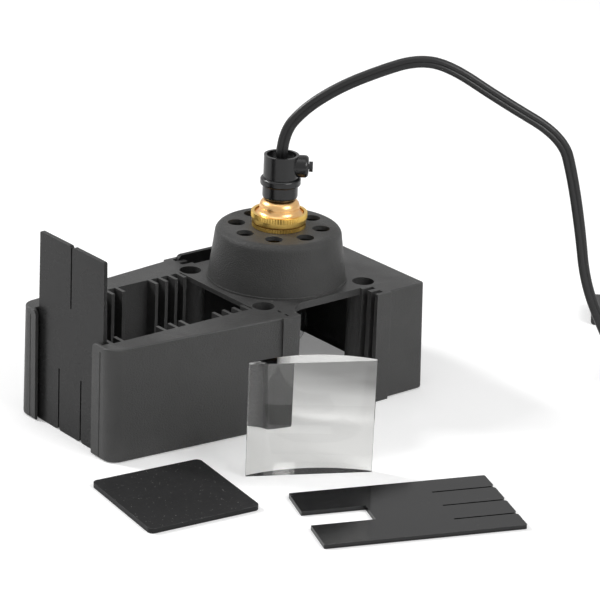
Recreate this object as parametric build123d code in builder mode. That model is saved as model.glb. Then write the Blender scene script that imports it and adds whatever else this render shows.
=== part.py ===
"""Optics ray box: bottomless moulded light box with a lamp under a vented dome, slit plates,
square blanking plates, a cylindrical lens and a low-voltage lead with a twin plug.

Frame: millimetres, +Z up, Z = 0 is the table. The lamp's axis is the Z axis, the rays leave
towards -X through the slit plate, and +Y is the side of the box with the fitted square plate.
"""

import os
from math import asin, atan2, cos, degrees, pi, radians, sin, sqrt, tan

from build123d import *

os.makedirs("parts", exist_ok=True)

# ---------------------------------------------------------------- driving dimensions: light box
BOX_HEIGHT = 60.0
BOX_BACK_X = 60.0  # outer face behind the lamp, at the deck
BOX_FRONT_X = -134.5  # upright front face
BOX_HALF_WIDTH = 50.0  # at the deck, along the lamp space
FRONT_HALF_WIDTH = 39.4  # at the deck, at the front face
TAPER_START_X = -34.5  # the sides run in from here to the front
SIDE_BEND_R = 20.0
DRAFT = 1.4  # how far each side and the back lean out over the height
WALL = 2.2
FRONT_WALL = 1.7
DECK = 2.5
FRONT_CORNER_R = 7.5
BACK_CORNER_R = 2.2
FOOT_EDGE_R = 1.4
TOP_EDGE_R = 0.8
SEAM_Y = 30.5  # moulding line on each front cheek
SEAM_DEPTH = 0.6
SEAM_STOP = 3.0  # it stops short of the deck

# lens channel: the open trough between slit plate and lamp, with ribs on both walls
CHANNEL_HALF = 31.0
CHANNEL_WALL = 2.0
CHANNEL_BACK_X = -40.0
RIB_REACH = 7.0  # how far a rib stands out from the channel wall
RIB_THICK = 1.8
RIB_XS = (-121.3, -95.3, -88.0, -81.3, -60.2, -53.9, -47.6, -42.0)
WINDOW_NEAR_Y = -23.8  # ends of the two lips, beside the opening that the slit plate closes
WINDOW_FAR_Y = 26.0
LIP_CORNER_R = 3.0
PLATE_SLOT = 4.3  # the front slot, lip to first rib
PLATE_SLOT_HALF = 30.0

# lamp space, its side openings and their guide grooves
OPENING_HALF = 25.5  # half length of each side opening at the deck's edge
DECK_EDGE_Y = 38.0
JAMB_HALF = 26.5  # tips of the jambs
JAMB_BACK = 34.2
SKIRT_DROP = 3.7
SKIRT_THICK = 1.5
GROOVE_END_X = 32.0
INNER_GROOVE_Y = 40.0
INNER_GROOVE = 3.0
OUTER_GROOVE_Y = 45.9
OUTER_GROOVE = 3.1
GROOVE_FLOOR = 2.5  # ledge under the far side's grooves
BOSS_PROUD = 1.2  # the outer wall stands out over each jamb
BOSS_BACK = 36.0
WEB_TIP_X = -25.0  # the near left jamb is webbed over, with a hollow inner edge
WEB_START_X = -30.5
WEB_R = 12.5
POST_X = 33.35  # the four upright corner sockets
POST_Y = 31.1
POST_R = 7.8
SOCKET_R = 5.8

# ---------------------------------------------------------------- dome over the lamp
DOME_BASE_R = 36.9
DOME_SHOULDER_R = 32.8
DOME_HEIGHT = 28.0
DOME_WALL = 2.2
DOME_EDGE_R = 4.0
DOME_RIM = 1.0
RIM_STEP = 0.6
SPIGOT_DROP = 3.0
SPIGOT_WALL = 2.2
SPIGOT_R = 32.6
VENT_COUNT = 8
VENT_R = 4.65
VENT_CIRCLE_R = 22.2

# ---------------------------------------------------------------- clearances
SEAT_GAP = 0.3  # between separate pieces that don't touch
THREAD_FIT = 0.08  # radial, ring or screw on its thread

# ---------------------------------------------------------------- lampholder
BARREL_R = 11.2  # threaded upper barrel of the brass holder
BARREL_BORE_R = 9.8
SOCKET_BARREL_R = 9.0  # plain lower barrel that takes the lamp cap
SOCKET_BORE_R = 7.85
SOCKET_MOUTH_DROP = 25.5  # drops and rises are measured from the dome's top
SOCKET_TOP_DROP = 10.5
BARREL_RISE = 6.2
COLLAR_R = 13.0
COLLAR_THICK = 1.9
BAYONET_SLOT = 2.6
BAYONET_TURN = 25.0
BAYONET_LIFT = 5.6  # from the mouth to the roof of the cross slot
SHADE_RING_R = 14.1
SHADE_RING_HEIGHT = 2.1
UNION_RING_R = 14.7
UNION_BAND_R = 14.3
UNION_BAND_HEIGHT = 2.8
UNION_RING_HEIGHT = 5.6
UNION_CUP_R = 13.0
KNURL_COUNT = 64
KNURL_DEPTH = 0.4
CAP_FLANGE_R = 12.5
CAP_FLANGE = 0.9
CAP_WAIST_R = 10.5
CAP_TOP_R = 8.3
CAP_RISE = 7.3
CAP_WALL = 1.0
NIPPLE_R = 4.9
NIPPLE_RISE = 5.5
CORE_BORE_R = 3.6

# insulator, sprung contacts and terminals inside the barrel
BLOCK_RISE = 2.0
BLOCK_HEIGHT = 9.9
CONTACT_PITCH = 7.2
PLUNGER_R = 1.6
PLUNGER_HEAD_R = 2.2
PLUNGER_HEAD = 1.0
PLUNGER_TRAVEL = 1.5
SPRING_R = 1.8  # middle of the wire
SPRING_WIRE_R = 0.25
SPRING_TURNS = 4
CHAMBER_R = 2.5
CHAMBER_DEPTH = 6.4
RETAINER = 1.0
TERMINAL_R = 2.0
TERMINAL_HEIGHT = 1.6
TERMINAL_SHANK_R = 1.0
TERMINAL_SHANK = 2.4
TERMINAL_SLOT = 0.6
TERMINAL_Y = 5.4
CORE_R = 1.1
CORE_Y = 1.3
JACKET_END_RISE = 24.0  # the lead's jacket is stripped back to here

# black cord grip on top of the holder
GRIP_BASE_R = 9.25
GRIP_BASE_HEIGHT = 7.6
GRIP_COLLAR_R = 10.6
GRIP_COLLAR_HEIGHT = 4.2
GRIP_BASE_ROUND = 2.2
GRIP_COLLAR_ROUND = 1.2
GRIP_BODY_R = 9.15
GRIP_RISE = 39.0
GRIP_RECESS = 2.6
GRIP_RIM = 1.4
GRIP_FLOOR = 1.7
GRIP_SPIGOT_R = 7.4
GRIP_SPIGOT = 3.8
GRIP_BORE_R = 5.6
TIE_HOLE_R = 0.9
TIE_HOLE_OFFSET = 5.4
CLAMP_ANGLE = -40.0  # plan direction that the clamping screw and its round boss point in
CLAMP_RISE = 33.0
CLAMP_BOSS_R = 5.9
CLAMP_BOSS_FACE = 14.3  # distance of its outer face from the lamp's axis
CLAMP_BOSS_ROUND = 2.0
SCREW_R = 1.5
SCREW_HEAD_R = 2.7
SCREW_HEAD = 2.0
SCREW_SLOT = 0.9
SCREW_SLOT_DEPTH = 1.0
JAW_THICK = 1.2
JAW_WIDTH = 5.0
JAW_HEIGHT = 4.6

# ---------------------------------------------------------------- lamp
GLOBE_R = 17.4
GLOBE_DROP = 52.0
GLASS = 0.8
NECK_R = 6.4
NECK_TOP_DROP = 28.0
NECK_BLEND_R = 5.0
LAMP_CAP_R = 7.55
LAMP_CAP_DROP = 16.4
LAMP_CAP_HEIGHT = 17.2
LAMP_CAP_WALL = 0.6
LAMP_PIN_R = 1.0
LAMP_PIN_REACH = 8.7
INSULATOR_R = 5.5
INSULATOR_SINK = 1.6
INSULATOR_RISE = 0.8
CONTACT_R = 1.7
CONTACT_RISE = 0.9
STEM_TOP_R = 5.2
STEM_FLARE = 1.5
STEM_WAIST = 8.0  # from the neck's top down to the end of the taper
STEM_TIP_R = 2.0
STEM_LENGTH = 13.0
FILAMENT_SPAN = 7.0  # upright line filament
FILAMENT_R = 0.6
SUPPORT_R = 0.35
SUPPORT_REACH = 3.2  # how far the long support stands off the filament

# ---------------------------------------------------------------- loose and fitted optics
SLIT_PLATE_WIDTH = 57.6
SLIT_PLATE_LENGTH = 101.6
SLIT_PLATE_THICK = 2.2
PLATE_CORNER_R = 1.0
PLATE_TAPER = 1.3  # the standing plate's sides run in by this much each up to its top
SLIT = 1.2
SINGLE_SLIT = 33.0
PAIR_SLIT = 33.5
PAIR_HALF_PITCH = 9.6
MOUTH_R = 1.6
TRIPLE_SLIT = 32.5
TRIPLE_PITCH = 15.3
NOTCH_WIDTH = 15.2
NOTCH_DEPTH = 32.4
LYING_CENTRE = (-47.8, -164.2)
LYING_ANGLE = -21.8
SQUARE = 60.0
SQUARE_THICK = 2.5
SQUARE_CORNER_R = 3.0
LOOSE_CENTRE = (-129.9, -88.5)
LOOSE_ANGLE = -7.6
LENS_WIDTH = 63.4
LENS_HEIGHT = 59.6
LENS_EDGE = 1.7
LENS_RISE = 8.4
LENS_CENTRE = (-59.0, -103.45)  # middle of the flat face, on the table
LENS_ANGLE = -28.7

# ---------------------------------------------------------------- lead
CORD_R = 3.1
CORD_PITCH = 6.7  # from turn to turn and from layer to layer of the coil
COIL_TURNS = 4
COIL_R = 38.5  # the outermost turns
TAIL_LENGTH = 28.0
TAIL_BEND = 3.0
LEAD_ROUTE = (
    (0.0, 0.0, 124.4),
    (0.0, 0.0, 138.5),
    (8.6, -7.2, 152.5),
    (21.5, -18.0, 164.4),
    (35.8, -30.0, 173.3),
    (50.9, -42.7, 180.8),
    (64.0, -53.7, 178.7),
    (85.5, -71.7, 161.3),
    (110.7, -92.9, 143.2),
    (115.8, -97.2, 121.4),
    (120.5, -101.1, 93.0),
    (124.0, -104.1, 65.0),
    (131.8, -110.6, 41.0),
    (141.5, -114.5, 22.0),
    (156.5, -108.5, 12.5),
    (173.5, -94.0, CORD_R + CORD_PITCH),
    (188.5, -79.0, CORD_R + CORD_PITCH),
)
RUN_SHARE = 0.45

# twin plug on the lead's far end
PLUG_WIDTH = 34.0
PLUG_LENGTH = 26.0
PLUG_THICK = 9.0
PLUG_PIN_R = 2.0
PLUG_PIN_LENGTH = 19.0
PLUG_PIN_PITCH = 19.0
PLUG_NOSE_R = 4.4
PLUG_NOSE = 8.0
PLUG_ROUND = 2.0
PIN_TIP_ROUND = 0.8


# ---------------------------------------------------------------- helpers
def box_outline(inset, front_x):
    """Corners of the light box's plan on the table, inset from its outside, cut off at front_x."""
    half = BOX_HALF_WIDTH + DRAFT - inset
    slope = (BOX_HALF_WIDTH - FRONT_HALF_WIDTH) / (TAPER_START_X - BOX_FRONT_X)
    front_half = half - slope * (TAPER_START_X - front_x)
    back_x = BOX_BACK_X + DRAFT - inset
    return [
        (front_x, -front_half),
        (TAPER_START_X, -half),
        (back_x, -half),
        (back_x, half),
        (TAPER_START_X, half),
        (front_x, front_half),
    ]


def knurl_outline(radius, depth, count):
    """Points round a disc that has count fine teeth, depth deep."""
    points = []
    for i in range(2 * count):
        r = radius - depth * (i % 2)
        angle = pi * i / count
        points.append((r * cos(angle), r * sin(angle)))
    return points


def plan_plane(x, y, angle, z=0.0):
    """Horizontal plane at x, y whose own X axis points at angle in plan."""
    a = radians(angle)
    return Plane(origin=(x, y, z), x_dir=(cos(a), sin(a), 0.0), z_dir=(0.0, 0.0, 1.0))


def is_upright(edge):
    """True for an edge that runs mostly along Z."""
    return abs((edge % 0.5).Z) > 0.9


def slit_cut(depth):
    """Narrow slit with a flared mouth, drawn from an edge at the origin up to depth."""
    with BuildSketch(mode=Mode.PRIVATE) as cut:
        with Locations((0.0, (depth - 1.0) / 2)):
            Rectangle(SLIT, depth + 1.0)
        with Locations((0.0, -0.5)):
            Rectangle(SLIT + 4 * MOUTH_R, 1.0)
        corners = [v for v in cut.vertices() if abs(v.Y) < 0.01 and abs(abs(v.X) - SLIT / 2) < 0.01]
        fillet(corners, MOUTH_R)
    return cut.sketch


def rod(points, radius):
    """Round rod from point to point with ball corners, added to the part being built."""
    for start, end in zip(points, points[1:]):
        run = Vector(*end) - Vector(*start)
        with Locations(Plane(origin=start, z_dir=run).location):
            Cylinder(radius, run.length, align=(Align.CENTER, Align.CENTER, Align.MIN))
    with Locations(*points[1:-1]):
        Sphere(radius)


def biarc(start, heading, end, end_heading):
    """Two arcs in space that leave start along heading and reach end along end_heading."""
    span = end - start
    both = heading + end_heading
    along = span.dot(both)
    reach = span.dot(span) / (
        along + sqrt(along**2 + 2 * (1 - heading.dot(end_heading)) * span.dot(span))
    )
    first = start + heading * reach
    second = end - end_heading * reach
    middle = (first + second) * 0.5
    TangentArc(start, middle, tangent=heading)
    TangentArc(middle, end, tangent=(second - first).normalized())


# ================================================================ light box
draft_angle = degrees(atan2(DRAFT, BOX_HEIGHT))
plate_slot_front_x = BOX_FRONT_X + FRONT_WALL
plate_slot_back_x = plate_slot_front_x + PLATE_SLOT
outline_spare = 12.0  # the outline runs past the front before the upright face cuts it
through = BOX_HEIGHT + 10.0
groove_bands = (
    (INNER_GROOVE_Y, INNER_GROOVE),
    (OUTER_GROOVE_Y, OUTER_GROOVE),
)
deck_hole_r = SPIGOT_R + SEAT_GAP

with BuildPart() as body_shell:
    # drafted outside, cut upright at the front, with soft corners and edges
    with BuildSketch() as outline:
        with BuildLine():
            Polyline(*box_outline(0.0, BOX_FRONT_X - outline_spare), close=True)
        make_face()
        fillet([v for v in outline.vertices() if abs(v.X - TAPER_START_X) < 0.1], SIDE_BEND_R)
    extrude(amount=BOX_HEIGHT, taper=draft_angle)
    split(bisect_by=Plane.YZ.offset(BOX_FRONT_X), keep=Keep.TOP)
    fillet(body_shell.faces().sort_by(Axis.X)[0].edges().filter_by(is_upright), FRONT_CORNER_R)
    fillet(body_shell.faces().sort_by(Axis.X)[-1].edges().filter_by(is_upright), BACK_CORNER_R)
    fillet(body_shell.faces().sort_by(Axis.Z)[0].edges(), FOOT_EDGE_R)
    fillet(body_shell.faces().sort_by(Axis.Z)[-1].edges(), TOP_EDGE_R)
    # bosses where the side wall stands out over each jamb
    boss_section = ((BOX_HALF_WIDTH - WALL, 0.0), (BOX_HALF_WIDTH + BOSS_PROUD + DRAFT, 0.0))
    boss_section += ((BOX_HALF_WIDTH + BOSS_PROUD, BOX_HEIGHT), (BOX_HALF_WIDTH - WALL, BOX_HEIGHT))
    for sx in (-1, 1):
        for sy in (-1, 1):
            start_x = JAMB_HALF - 2.0 if sx > 0 else -BOSS_BACK
            with BuildSketch(Plane.YZ.offset(start_x)):
                with BuildLine():
                    Polyline(*[(sy * y, z) for y, z in boss_section], close=True)
                make_face()
            extrude(amount=BOSS_BACK - JAMB_HALF + 2.0)
    # hollow underneath, open to the table
    with BuildSketch() as hollow:
        with BuildLine():
            Polyline(*box_outline(WALL, BOX_FRONT_X + FRONT_WALL), close=True)
        make_face()
        fillet(hollow.vertices().group_by(Axis.X)[0], FRONT_CORNER_R - WALL)
    extrude(amount=BOX_HEIGHT - DECK, taper=draft_angle, mode=Mode.SUBTRACT)
    # walls of the lens channel, corner posts and jambs
    for sy in (-1, 1):
        with BuildSketch() as walls:
            with Locations(((plate_slot_front_x - POST_X) / 2, sy * (CHANNEL_HALF + CHANNEL_WALL / 2))):
                Rectangle(-POST_X - plate_slot_front_x, CHANNEL_WALL)
            for sx in (-1, 1):
                with Locations((sx * POST_X, sy * POST_Y)):
                    Circle(POST_R)
                jamb_mid = (BOX_HALF_WIDTH - WALL / 2 + DECK_EDGE_Y) / 2
                with Locations((sx * (OPENING_HALF + JAMB_BACK) / 2, sy * jamb_mid)):
                    Rectangle(JAMB_BACK - OPENING_HALF, BOX_HALF_WIDTH - WALL / 2 - DECK_EDGE_Y)
        extrude(amount=BOX_HEIGHT)
    # skirt under the deck's edge, and the side openings with their stepped jambs
    for sy in (-1, 1):
        with BuildSketch(Plane.XY.offset(BOX_HEIGHT - SKIRT_DROP)):
            with Locations((0.0, sy * (DECK_EDGE_Y - SKIRT_THICK / 2))):
                Rectangle(2 * JAMB_HALF, SKIRT_THICK)
        extrude(amount=SKIRT_DROP - TOP_EDGE_R)
        with BuildSketch(Plane.XY.offset(-1.0)):
            with Locations((0.0, sy * (DECK_EDGE_Y + BOX_HALF_WIDTH / 2))):
                Rectangle(2 * OPENING_HALF, BOX_HALF_WIDTH)
            with Locations((0.0, sy * (INNER_GROOVE_Y + BOX_HALF_WIDTH / 2))):
                Rectangle(2 * JAMB_HALF, BOX_HALF_WIDTH)
        extrude(amount=through, mode=Mode.SUBTRACT)
        floor_z = GROOVE_FLOOR if sy > 0 else -1.0
        with BuildSketch(Plane.XY.offset(floor_z)):
            for groove_y, groove_width in groove_bands:
                with Locations((0.0, sy * (groove_y + groove_width / 2))):
                    Rectangle(2 * GROOVE_END_X, groove_width)
        extrude(amount=through, mode=Mode.SUBTRACT)
    # channel trough through the deck, and the front slot's end pads
    with BuildSketch(Plane.XY.offset(-1.0)):
        with Locations(((plate_slot_front_x + CHANNEL_BACK_X) / 2, 0.0)):
            Rectangle(CHANNEL_BACK_X - plate_slot_front_x, 2 * CHANNEL_HALF)
    extrude(amount=through, mode=Mode.SUBTRACT)
    with BuildSketch():
        for sy in (-1, 1):
            pad = CHANNEL_HALF - PLATE_SLOT_HALF
            with Locations(((plate_slot_front_x + plate_slot_back_x) / 2, sy * (CHANNEL_HALF - pad / 2))):
                Rectangle(PLATE_SLOT, pad)
    extrude(amount=BOX_HEIGHT)
    # front window between the two lips
    window_width = WINDOW_FAR_Y - WINDOW_NEAR_Y
    window_mid_y = (WINDOW_FAR_Y + WINDOW_NEAR_Y) / 2
    with BuildSketch(Plane.YZ.offset(BOX_FRONT_X - 1.0)):
        with Locations((window_mid_y, BOX_HEIGHT / 2)):
            Rectangle(window_width, through)
        with Locations((window_mid_y, BOX_HEIGHT)):
            Rectangle(window_width + 2 * LIP_CORNER_R, 2 * LIP_CORNER_R)
        for lip_y in (WINDOW_NEAR_Y - LIP_CORNER_R, WINDOW_FAR_Y + LIP_CORNER_R):
            with Locations((lip_y, BOX_HEIGHT - LIP_CORNER_R)):
                Circle(LIP_CORNER_R, mode=Mode.SUBTRACT)
    extrude(amount=FRONT_WALL + 1.0, mode=Mode.SUBTRACT)
    # moulding line down each front cheek
    for sy in (-1, 1):
        with BuildSketch(Plane.XY.offset(-1.0)):
            with BuildLine():
                Polyline(
                    (BOX_FRONT_X - 0.1, sy * SEAM_Y - SEAM_DEPTH),
                    (BOX_FRONT_X + SEAM_DEPTH, sy * SEAM_Y),
                    (BOX_FRONT_X - 0.1, sy * SEAM_Y + SEAM_DEPTH),
                    close=True,
                )
            make_face()
        extrude(amount=BOX_HEIGHT - SEAM_STOP + 1.0, mode=Mode.SUBTRACT)
    # the webbed jamb, with relief openings left at its grooves' ends
    web_y = BOX_HALF_WIDTH + BOSS_PROUD
    with BuildSketch(Plane.XY.offset(BOX_HEIGHT - SKIRT_DROP)):
        with Locations(((WEB_START_X + WEB_TIP_X) / 2, -(DECK_EDGE_Y + web_y) / 2)):
            Rectangle(WEB_TIP_X - WEB_START_X, web_y - DECK_EDGE_Y)
        with Locations((WEB_TIP_X + WEB_R / 2, -(DECK_EDGE_Y + WEB_R / 2))):
            Rectangle(WEB_R, WEB_R)
        with Locations((WEB_TIP_X + WEB_R, -(DECK_EDGE_Y + WEB_R))):
            Circle(WEB_R, mode=Mode.SUBTRACT)
    extrude(amount=SKIRT_DROP)
    with BuildSketch():
        outer_wall_y = OUTER_GROOVE_Y + OUTER_GROOVE
        with Locations((-(JAMB_HALF - WEB_TIP_X) / 2, -(outer_wall_y + web_y) / 2)):
            Rectangle(JAMB_HALF + WEB_TIP_X, web_y - outer_wall_y)
    extrude(amount=BOX_HEIGHT)
    # sockets and the hole under the dome
    with BuildSketch(Plane.XY.offset(-1.0)):
        with GridLocations(2 * POST_X, 2 * POST_Y, 2, 2):
            Circle(SOCKET_R)
    extrude(amount=through, mode=Mode.SUBTRACT)
    with BuildSketch(Plane.XY.offset(BOX_HEIGHT - DECK - 0.5)):
        Circle(deck_hole_r)
    extrude(amount=DECK + 1.0, mode=Mode.SUBTRACT)
body_shell.part.label = "body_shell"
export_step(body_shell.part, "parts/body_shell.step")

# the ribs are moulded with the box and stand on the channel's two walls
rib_xs = (plate_slot_back_x + RIB_THICK / 2,) + RIB_XS
rib_y = CHANNEL_HALF - RIB_REACH / 2

with BuildPart() as channel_ribs_near:
    with BuildSketch():
        with Locations(*[(rib_x, -rib_y) for rib_x in rib_xs]):
            Rectangle(RIB_THICK, RIB_REACH)
    extrude(amount=BOX_HEIGHT)
channel_ribs_near.part.label = "channel_ribs_near"
export_step(channel_ribs_near.part, "parts/channel_ribs_near.step")

with BuildPart() as channel_ribs_far:
    with BuildSketch():
        with Locations(*[(rib_x, rib_y) for rib_x in rib_xs]):
            Rectangle(RIB_THICK, RIB_REACH)
    extrude(amount=BOX_HEIGHT)
channel_ribs_far.part.label = "channel_ribs_far"
export_step(channel_ribs_far.part, "parts/channel_ribs_far.step")

# ================================================================ dome
dome_top_z = BOX_HEIGHT + DOME_HEIGHT
dome_under_z = dome_top_z - DOME_WALL
holder_hole_r = BARREL_R + SEAT_GAP

with BuildPart() as lamp_dome:
    with BuildSketch(Plane.XZ):
        with BuildLine():
            Polyline(
                (holder_hole_r, dome_top_z),
                (DOME_SHOULDER_R, dome_top_z),
                (DOME_BASE_R - RIM_STEP, BOX_HEIGHT + DOME_RIM),
                (DOME_BASE_R, BOX_HEIGHT + DOME_RIM),
                (DOME_BASE_R, BOX_HEIGHT),
                (SPIGOT_R, BOX_HEIGHT),
                (SPIGOT_R, BOX_HEIGHT - SPIGOT_DROP),
                (SPIGOT_R - SPIGOT_WALL, BOX_HEIGHT - SPIGOT_DROP),
                (DOME_BASE_R - RIM_STEP - DOME_WALL - DOME_RIM, BOX_HEIGHT + 2 * DOME_WALL),
                (DOME_SHOULDER_R - DOME_WALL, dome_under_z),
                (holder_hole_r, dome_under_z),
                close=True,
            )
        make_face()
    revolve(axis=Axis.Z)
    rims = lamp_dome.edges().filter_by(GeomType.CIRCLE)
    fillet(rims.filter_by(lambda e: abs(e.radius - DOME_SHOULDER_R) < 0.01), DOME_EDGE_R)
    inner_rim = rims.filter_by(lambda e: abs(e.radius - DOME_SHOULDER_R + DOME_WALL) < 0.01)
    fillet(inner_rim, DOME_EDGE_R - DOME_WALL)
    with BuildSketch(Plane.XY.offset(dome_under_z - 1.0)):
        with PolarLocations(VENT_CIRCLE_R, VENT_COUNT):
            Circle(VENT_R)
    extrude(amount=DOME_WALL + 2.0, mode=Mode.SUBTRACT)
lamp_dome.part.label = "lamp_dome"
export_step(lamp_dome.part, "parts/lamp_dome.step")

# ================================================================ brass lampholder
collar_top_z = dome_under_z - SEAT_GAP
collar_bottom_z = collar_top_z - COLLAR_THICK
socket_mouth_z = dome_top_z - SOCKET_MOUTH_DROP
socket_top_z = dome_top_z - SOCKET_TOP_DROP
barrel_top_z = dome_top_z + BARREL_RISE
step_z = socket_top_z + BARREL_R - SOCKET_BARREL_R
slot_roof_z = socket_mouth_z + BAYONET_LIFT
slot_floor_z = slot_roof_z - BAYONET_SLOT
slot_half_angle = degrees(asin(BAYONET_SLOT / 2 / SOCKET_BORE_R))

with BuildPart() as holder_barrel:
    with BuildSketch(Plane.XZ):
        with BuildLine():
            Polyline(
                (SOCKET_BORE_R, socket_mouth_z),
                (SOCKET_BARREL_R, socket_mouth_z),
                (SOCKET_BARREL_R, socket_top_z),
                (BARREL_R, step_z),
                (BARREL_R, collar_bottom_z),
                (COLLAR_R, collar_bottom_z),
                (COLLAR_R, collar_top_z),
                (BARREL_R, collar_top_z),
                (BARREL_R, barrel_top_z),
                (BARREL_BORE_R, barrel_top_z),
                (BARREL_BORE_R, step_z),
                (SOCKET_BORE_R, socket_top_z),
                close=True,
            )
        make_face()
    revolve(axis=Axis.Z)
    # two L-shaped bayonet slots: up from the mouth, then round under a roof
    with BuildSketch(Plane.XY.offset(socket_mouth_z - 1.0)):
        Rectangle(4 * SOCKET_BARREL_R, BAYONET_SLOT)
    extrude(amount=BAYONET_LIFT + 1.0, mode=Mode.SUBTRACT)
    for side in (0.0, 180.0):
        slot_start = Plane.XZ.rotated((0.0, 0.0, side))
        with BuildSketch(slot_start):
            with Locations(((SOCKET_BORE_R + SOCKET_BARREL_R) / 2, (slot_floor_z + slot_roof_z) / 2)):
                Rectangle(SOCKET_BARREL_R - SOCKET_BORE_R + 2.0, BAYONET_SLOT)
        revolve(axis=Axis.Z, revolution_arc=BAYONET_TURN + slot_half_angle, mode=Mode.SUBTRACT)
holder_barrel.part.label = "holder_barrel"
export_step(holder_barrel.part, "parts/holder_barrel.step")

shade_ring_z = dome_top_z + SEAT_GAP / 2
union_ring_z = shade_ring_z + SHADE_RING_HEIGHT + SEAT_GAP
cup_floor_z = barrel_top_z
ring_bore_r = BARREL_R + THREAD_FIT

with BuildPart() as shade_ring:
    with BuildSketch(Plane.XY.offset(shade_ring_z)):
        with BuildLine():
            Polyline(*knurl_outline(SHADE_RING_R, KNURL_DEPTH, KNURL_COUNT), close=True)
        make_face()
        Circle(ring_bore_r, mode=Mode.SUBTRACT)
    extrude(amount=SHADE_RING_HEIGHT)
shade_ring.part.label = "shade_ring"
export_step(shade_ring.part, "parts/shade_ring.step")

with BuildPart() as union_ring:
    with BuildSketch(Plane.XZ):
        with BuildLine():
            Polyline(
                (ring_bore_r, union_ring_z),
                (UNION_BAND_R - 0.5, union_ring_z),
                (UNION_BAND_R, union_ring_z + 0.5),
                (UNION_BAND_R, union_ring_z + UNION_BAND_HEIGHT),
                (UNION_CUP_R, union_ring_z + UNION_BAND_HEIGHT),
                (UNION_CUP_R, cup_floor_z),
                (ring_bore_r, cup_floor_z),
                close=True,
            )
        make_face()
    revolve(axis=Axis.Z)
    with BuildSketch(Plane.XY.offset(union_ring_z + UNION_BAND_HEIGHT)):
        with BuildLine():
            Polyline(*knurl_outline(UNION_RING_R, KNURL_DEPTH, KNURL_COUNT), close=True)
        make_face()
        Circle(UNION_CUP_R, mode=Mode.SUBTRACT)
    extrude(amount=UNION_RING_HEIGHT - UNION_BAND_HEIGHT)
union_ring.part.label = "union_ring"
export_step(union_ring.part, "parts/union_ring.step")

cap_z = barrel_top_z + SEAT_GAP
cap_shoulder_z = cap_z + CAP_FLANGE
cap_top_z = cap_shoulder_z + CAP_RISE
waist_z = cap_shoulder_z + 0.42 * CAP_RISE

with BuildPart() as holder_cap:
    with BuildSketch(Plane.XZ):
        with BuildLine():
            Polyline(
                (CORE_BORE_R, cap_top_z + NIPPLE_RISE),
                (CORE_BORE_R, cap_top_z - CAP_WALL),
                (CAP_TOP_R - CAP_WALL, cap_top_z - CAP_WALL),
                (CAP_WAIST_R - CAP_WALL, waist_z),
                (CAP_WAIST_R - CAP_WALL, cap_z),
                (CAP_FLANGE_R, cap_z),
                (CAP_FLANGE_R, cap_shoulder_z),
            )
            flank_mid = ((CAP_FLANGE_R + CAP_WAIST_R) / 2 - 0.5, (cap_shoulder_z + waist_z) / 2 - 0.3)
            ThreePointArc((CAP_FLANGE_R, cap_shoulder_z), flank_mid, (CAP_WAIST_R, waist_z))
            crown_mid = ((CAP_WAIST_R + CAP_TOP_R) / 2 + 0.6, (waist_z + cap_top_z) / 2 + 0.5)
            ThreePointArc((CAP_WAIST_R, waist_z), crown_mid, (CAP_TOP_R, cap_top_z))
            Polyline(
                (CAP_TOP_R, cap_top_z),
                (NIPPLE_R, cap_top_z),
                (NIPPLE_R, cap_top_z + NIPPLE_RISE),
                (CORE_BORE_R, cap_top_z + NIPPLE_RISE),
            )
        make_face()
    revolve(axis=Axis.Z)
holder_cap.part.label = "holder_cap"
export_step(holder_cap.part, "parts/holder_cap.step")

# ================================================================ insulator and contacts
lamp_cap_top_z = dome_top_z - LAMP_CAP_DROP
insulator_top_z = lamp_cap_top_z + INSULATOR_RISE
plunger_tip_z = insulator_top_z + CONTACT_RISE + SEAT_GAP
block_top_z = dome_top_z + BLOCK_RISE
block_bottom_z = block_top_z - BLOCK_HEIGHT
retainer_z = block_bottom_z + RETAINER
head_z = retainer_z + SEAT_GAP
spring_z = head_z + PLUNGER_HEAD
chamber_top_z = retainer_z + CHAMBER_DEPTH

with BuildPart() as contact_block:
    with BuildSketch(Plane.XY.offset(block_bottom_z)):
        Circle(BARREL_BORE_R - SEAT_GAP)
    extrude(amount=BLOCK_HEIGHT)
    # a chamber for each spring, closed below by a ring that retains the plunger's head
    with BuildSketch(plan_plane(0.0, 0.0, BAYONET_TURN, retainer_z)):
        with GridLocations(CONTACT_PITCH, 1.0, 2, 1):
            Circle(CHAMBER_R)
    extrude(amount=CHAMBER_DEPTH, mode=Mode.SUBTRACT)
    with BuildSketch(plan_plane(0.0, 0.0, BAYONET_TURN, block_bottom_z - 1.0)):
        with GridLocations(CONTACT_PITCH, 1.0, 2, 1):
            Circle(PLUNGER_R + THREAD_FIT)
    extrude(amount=RETAINER + 2.0, mode=Mode.SUBTRACT)
    # threaded holes for the two terminals
    with BuildSketch(Plane.XY.offset(block_top_z - TERMINAL_SHANK - SEAT_GAP)):
        with GridLocations(1.0, 2 * TERMINAL_Y, 1, 2):
            Circle(TERMINAL_SHANK_R + THREAD_FIT)
    extrude(amount=TERMINAL_SHANK + 1.0, mode=Mode.SUBTRACT)
    # the retaining ring is a disc of its own under the block
    split(bisect_by=Plane.XY.offset(retainer_z), keep=Keep.BOTH)
contact_block.part.label = "contact_block"
export_step(contact_block.part, "parts/contact_block.step")

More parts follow.
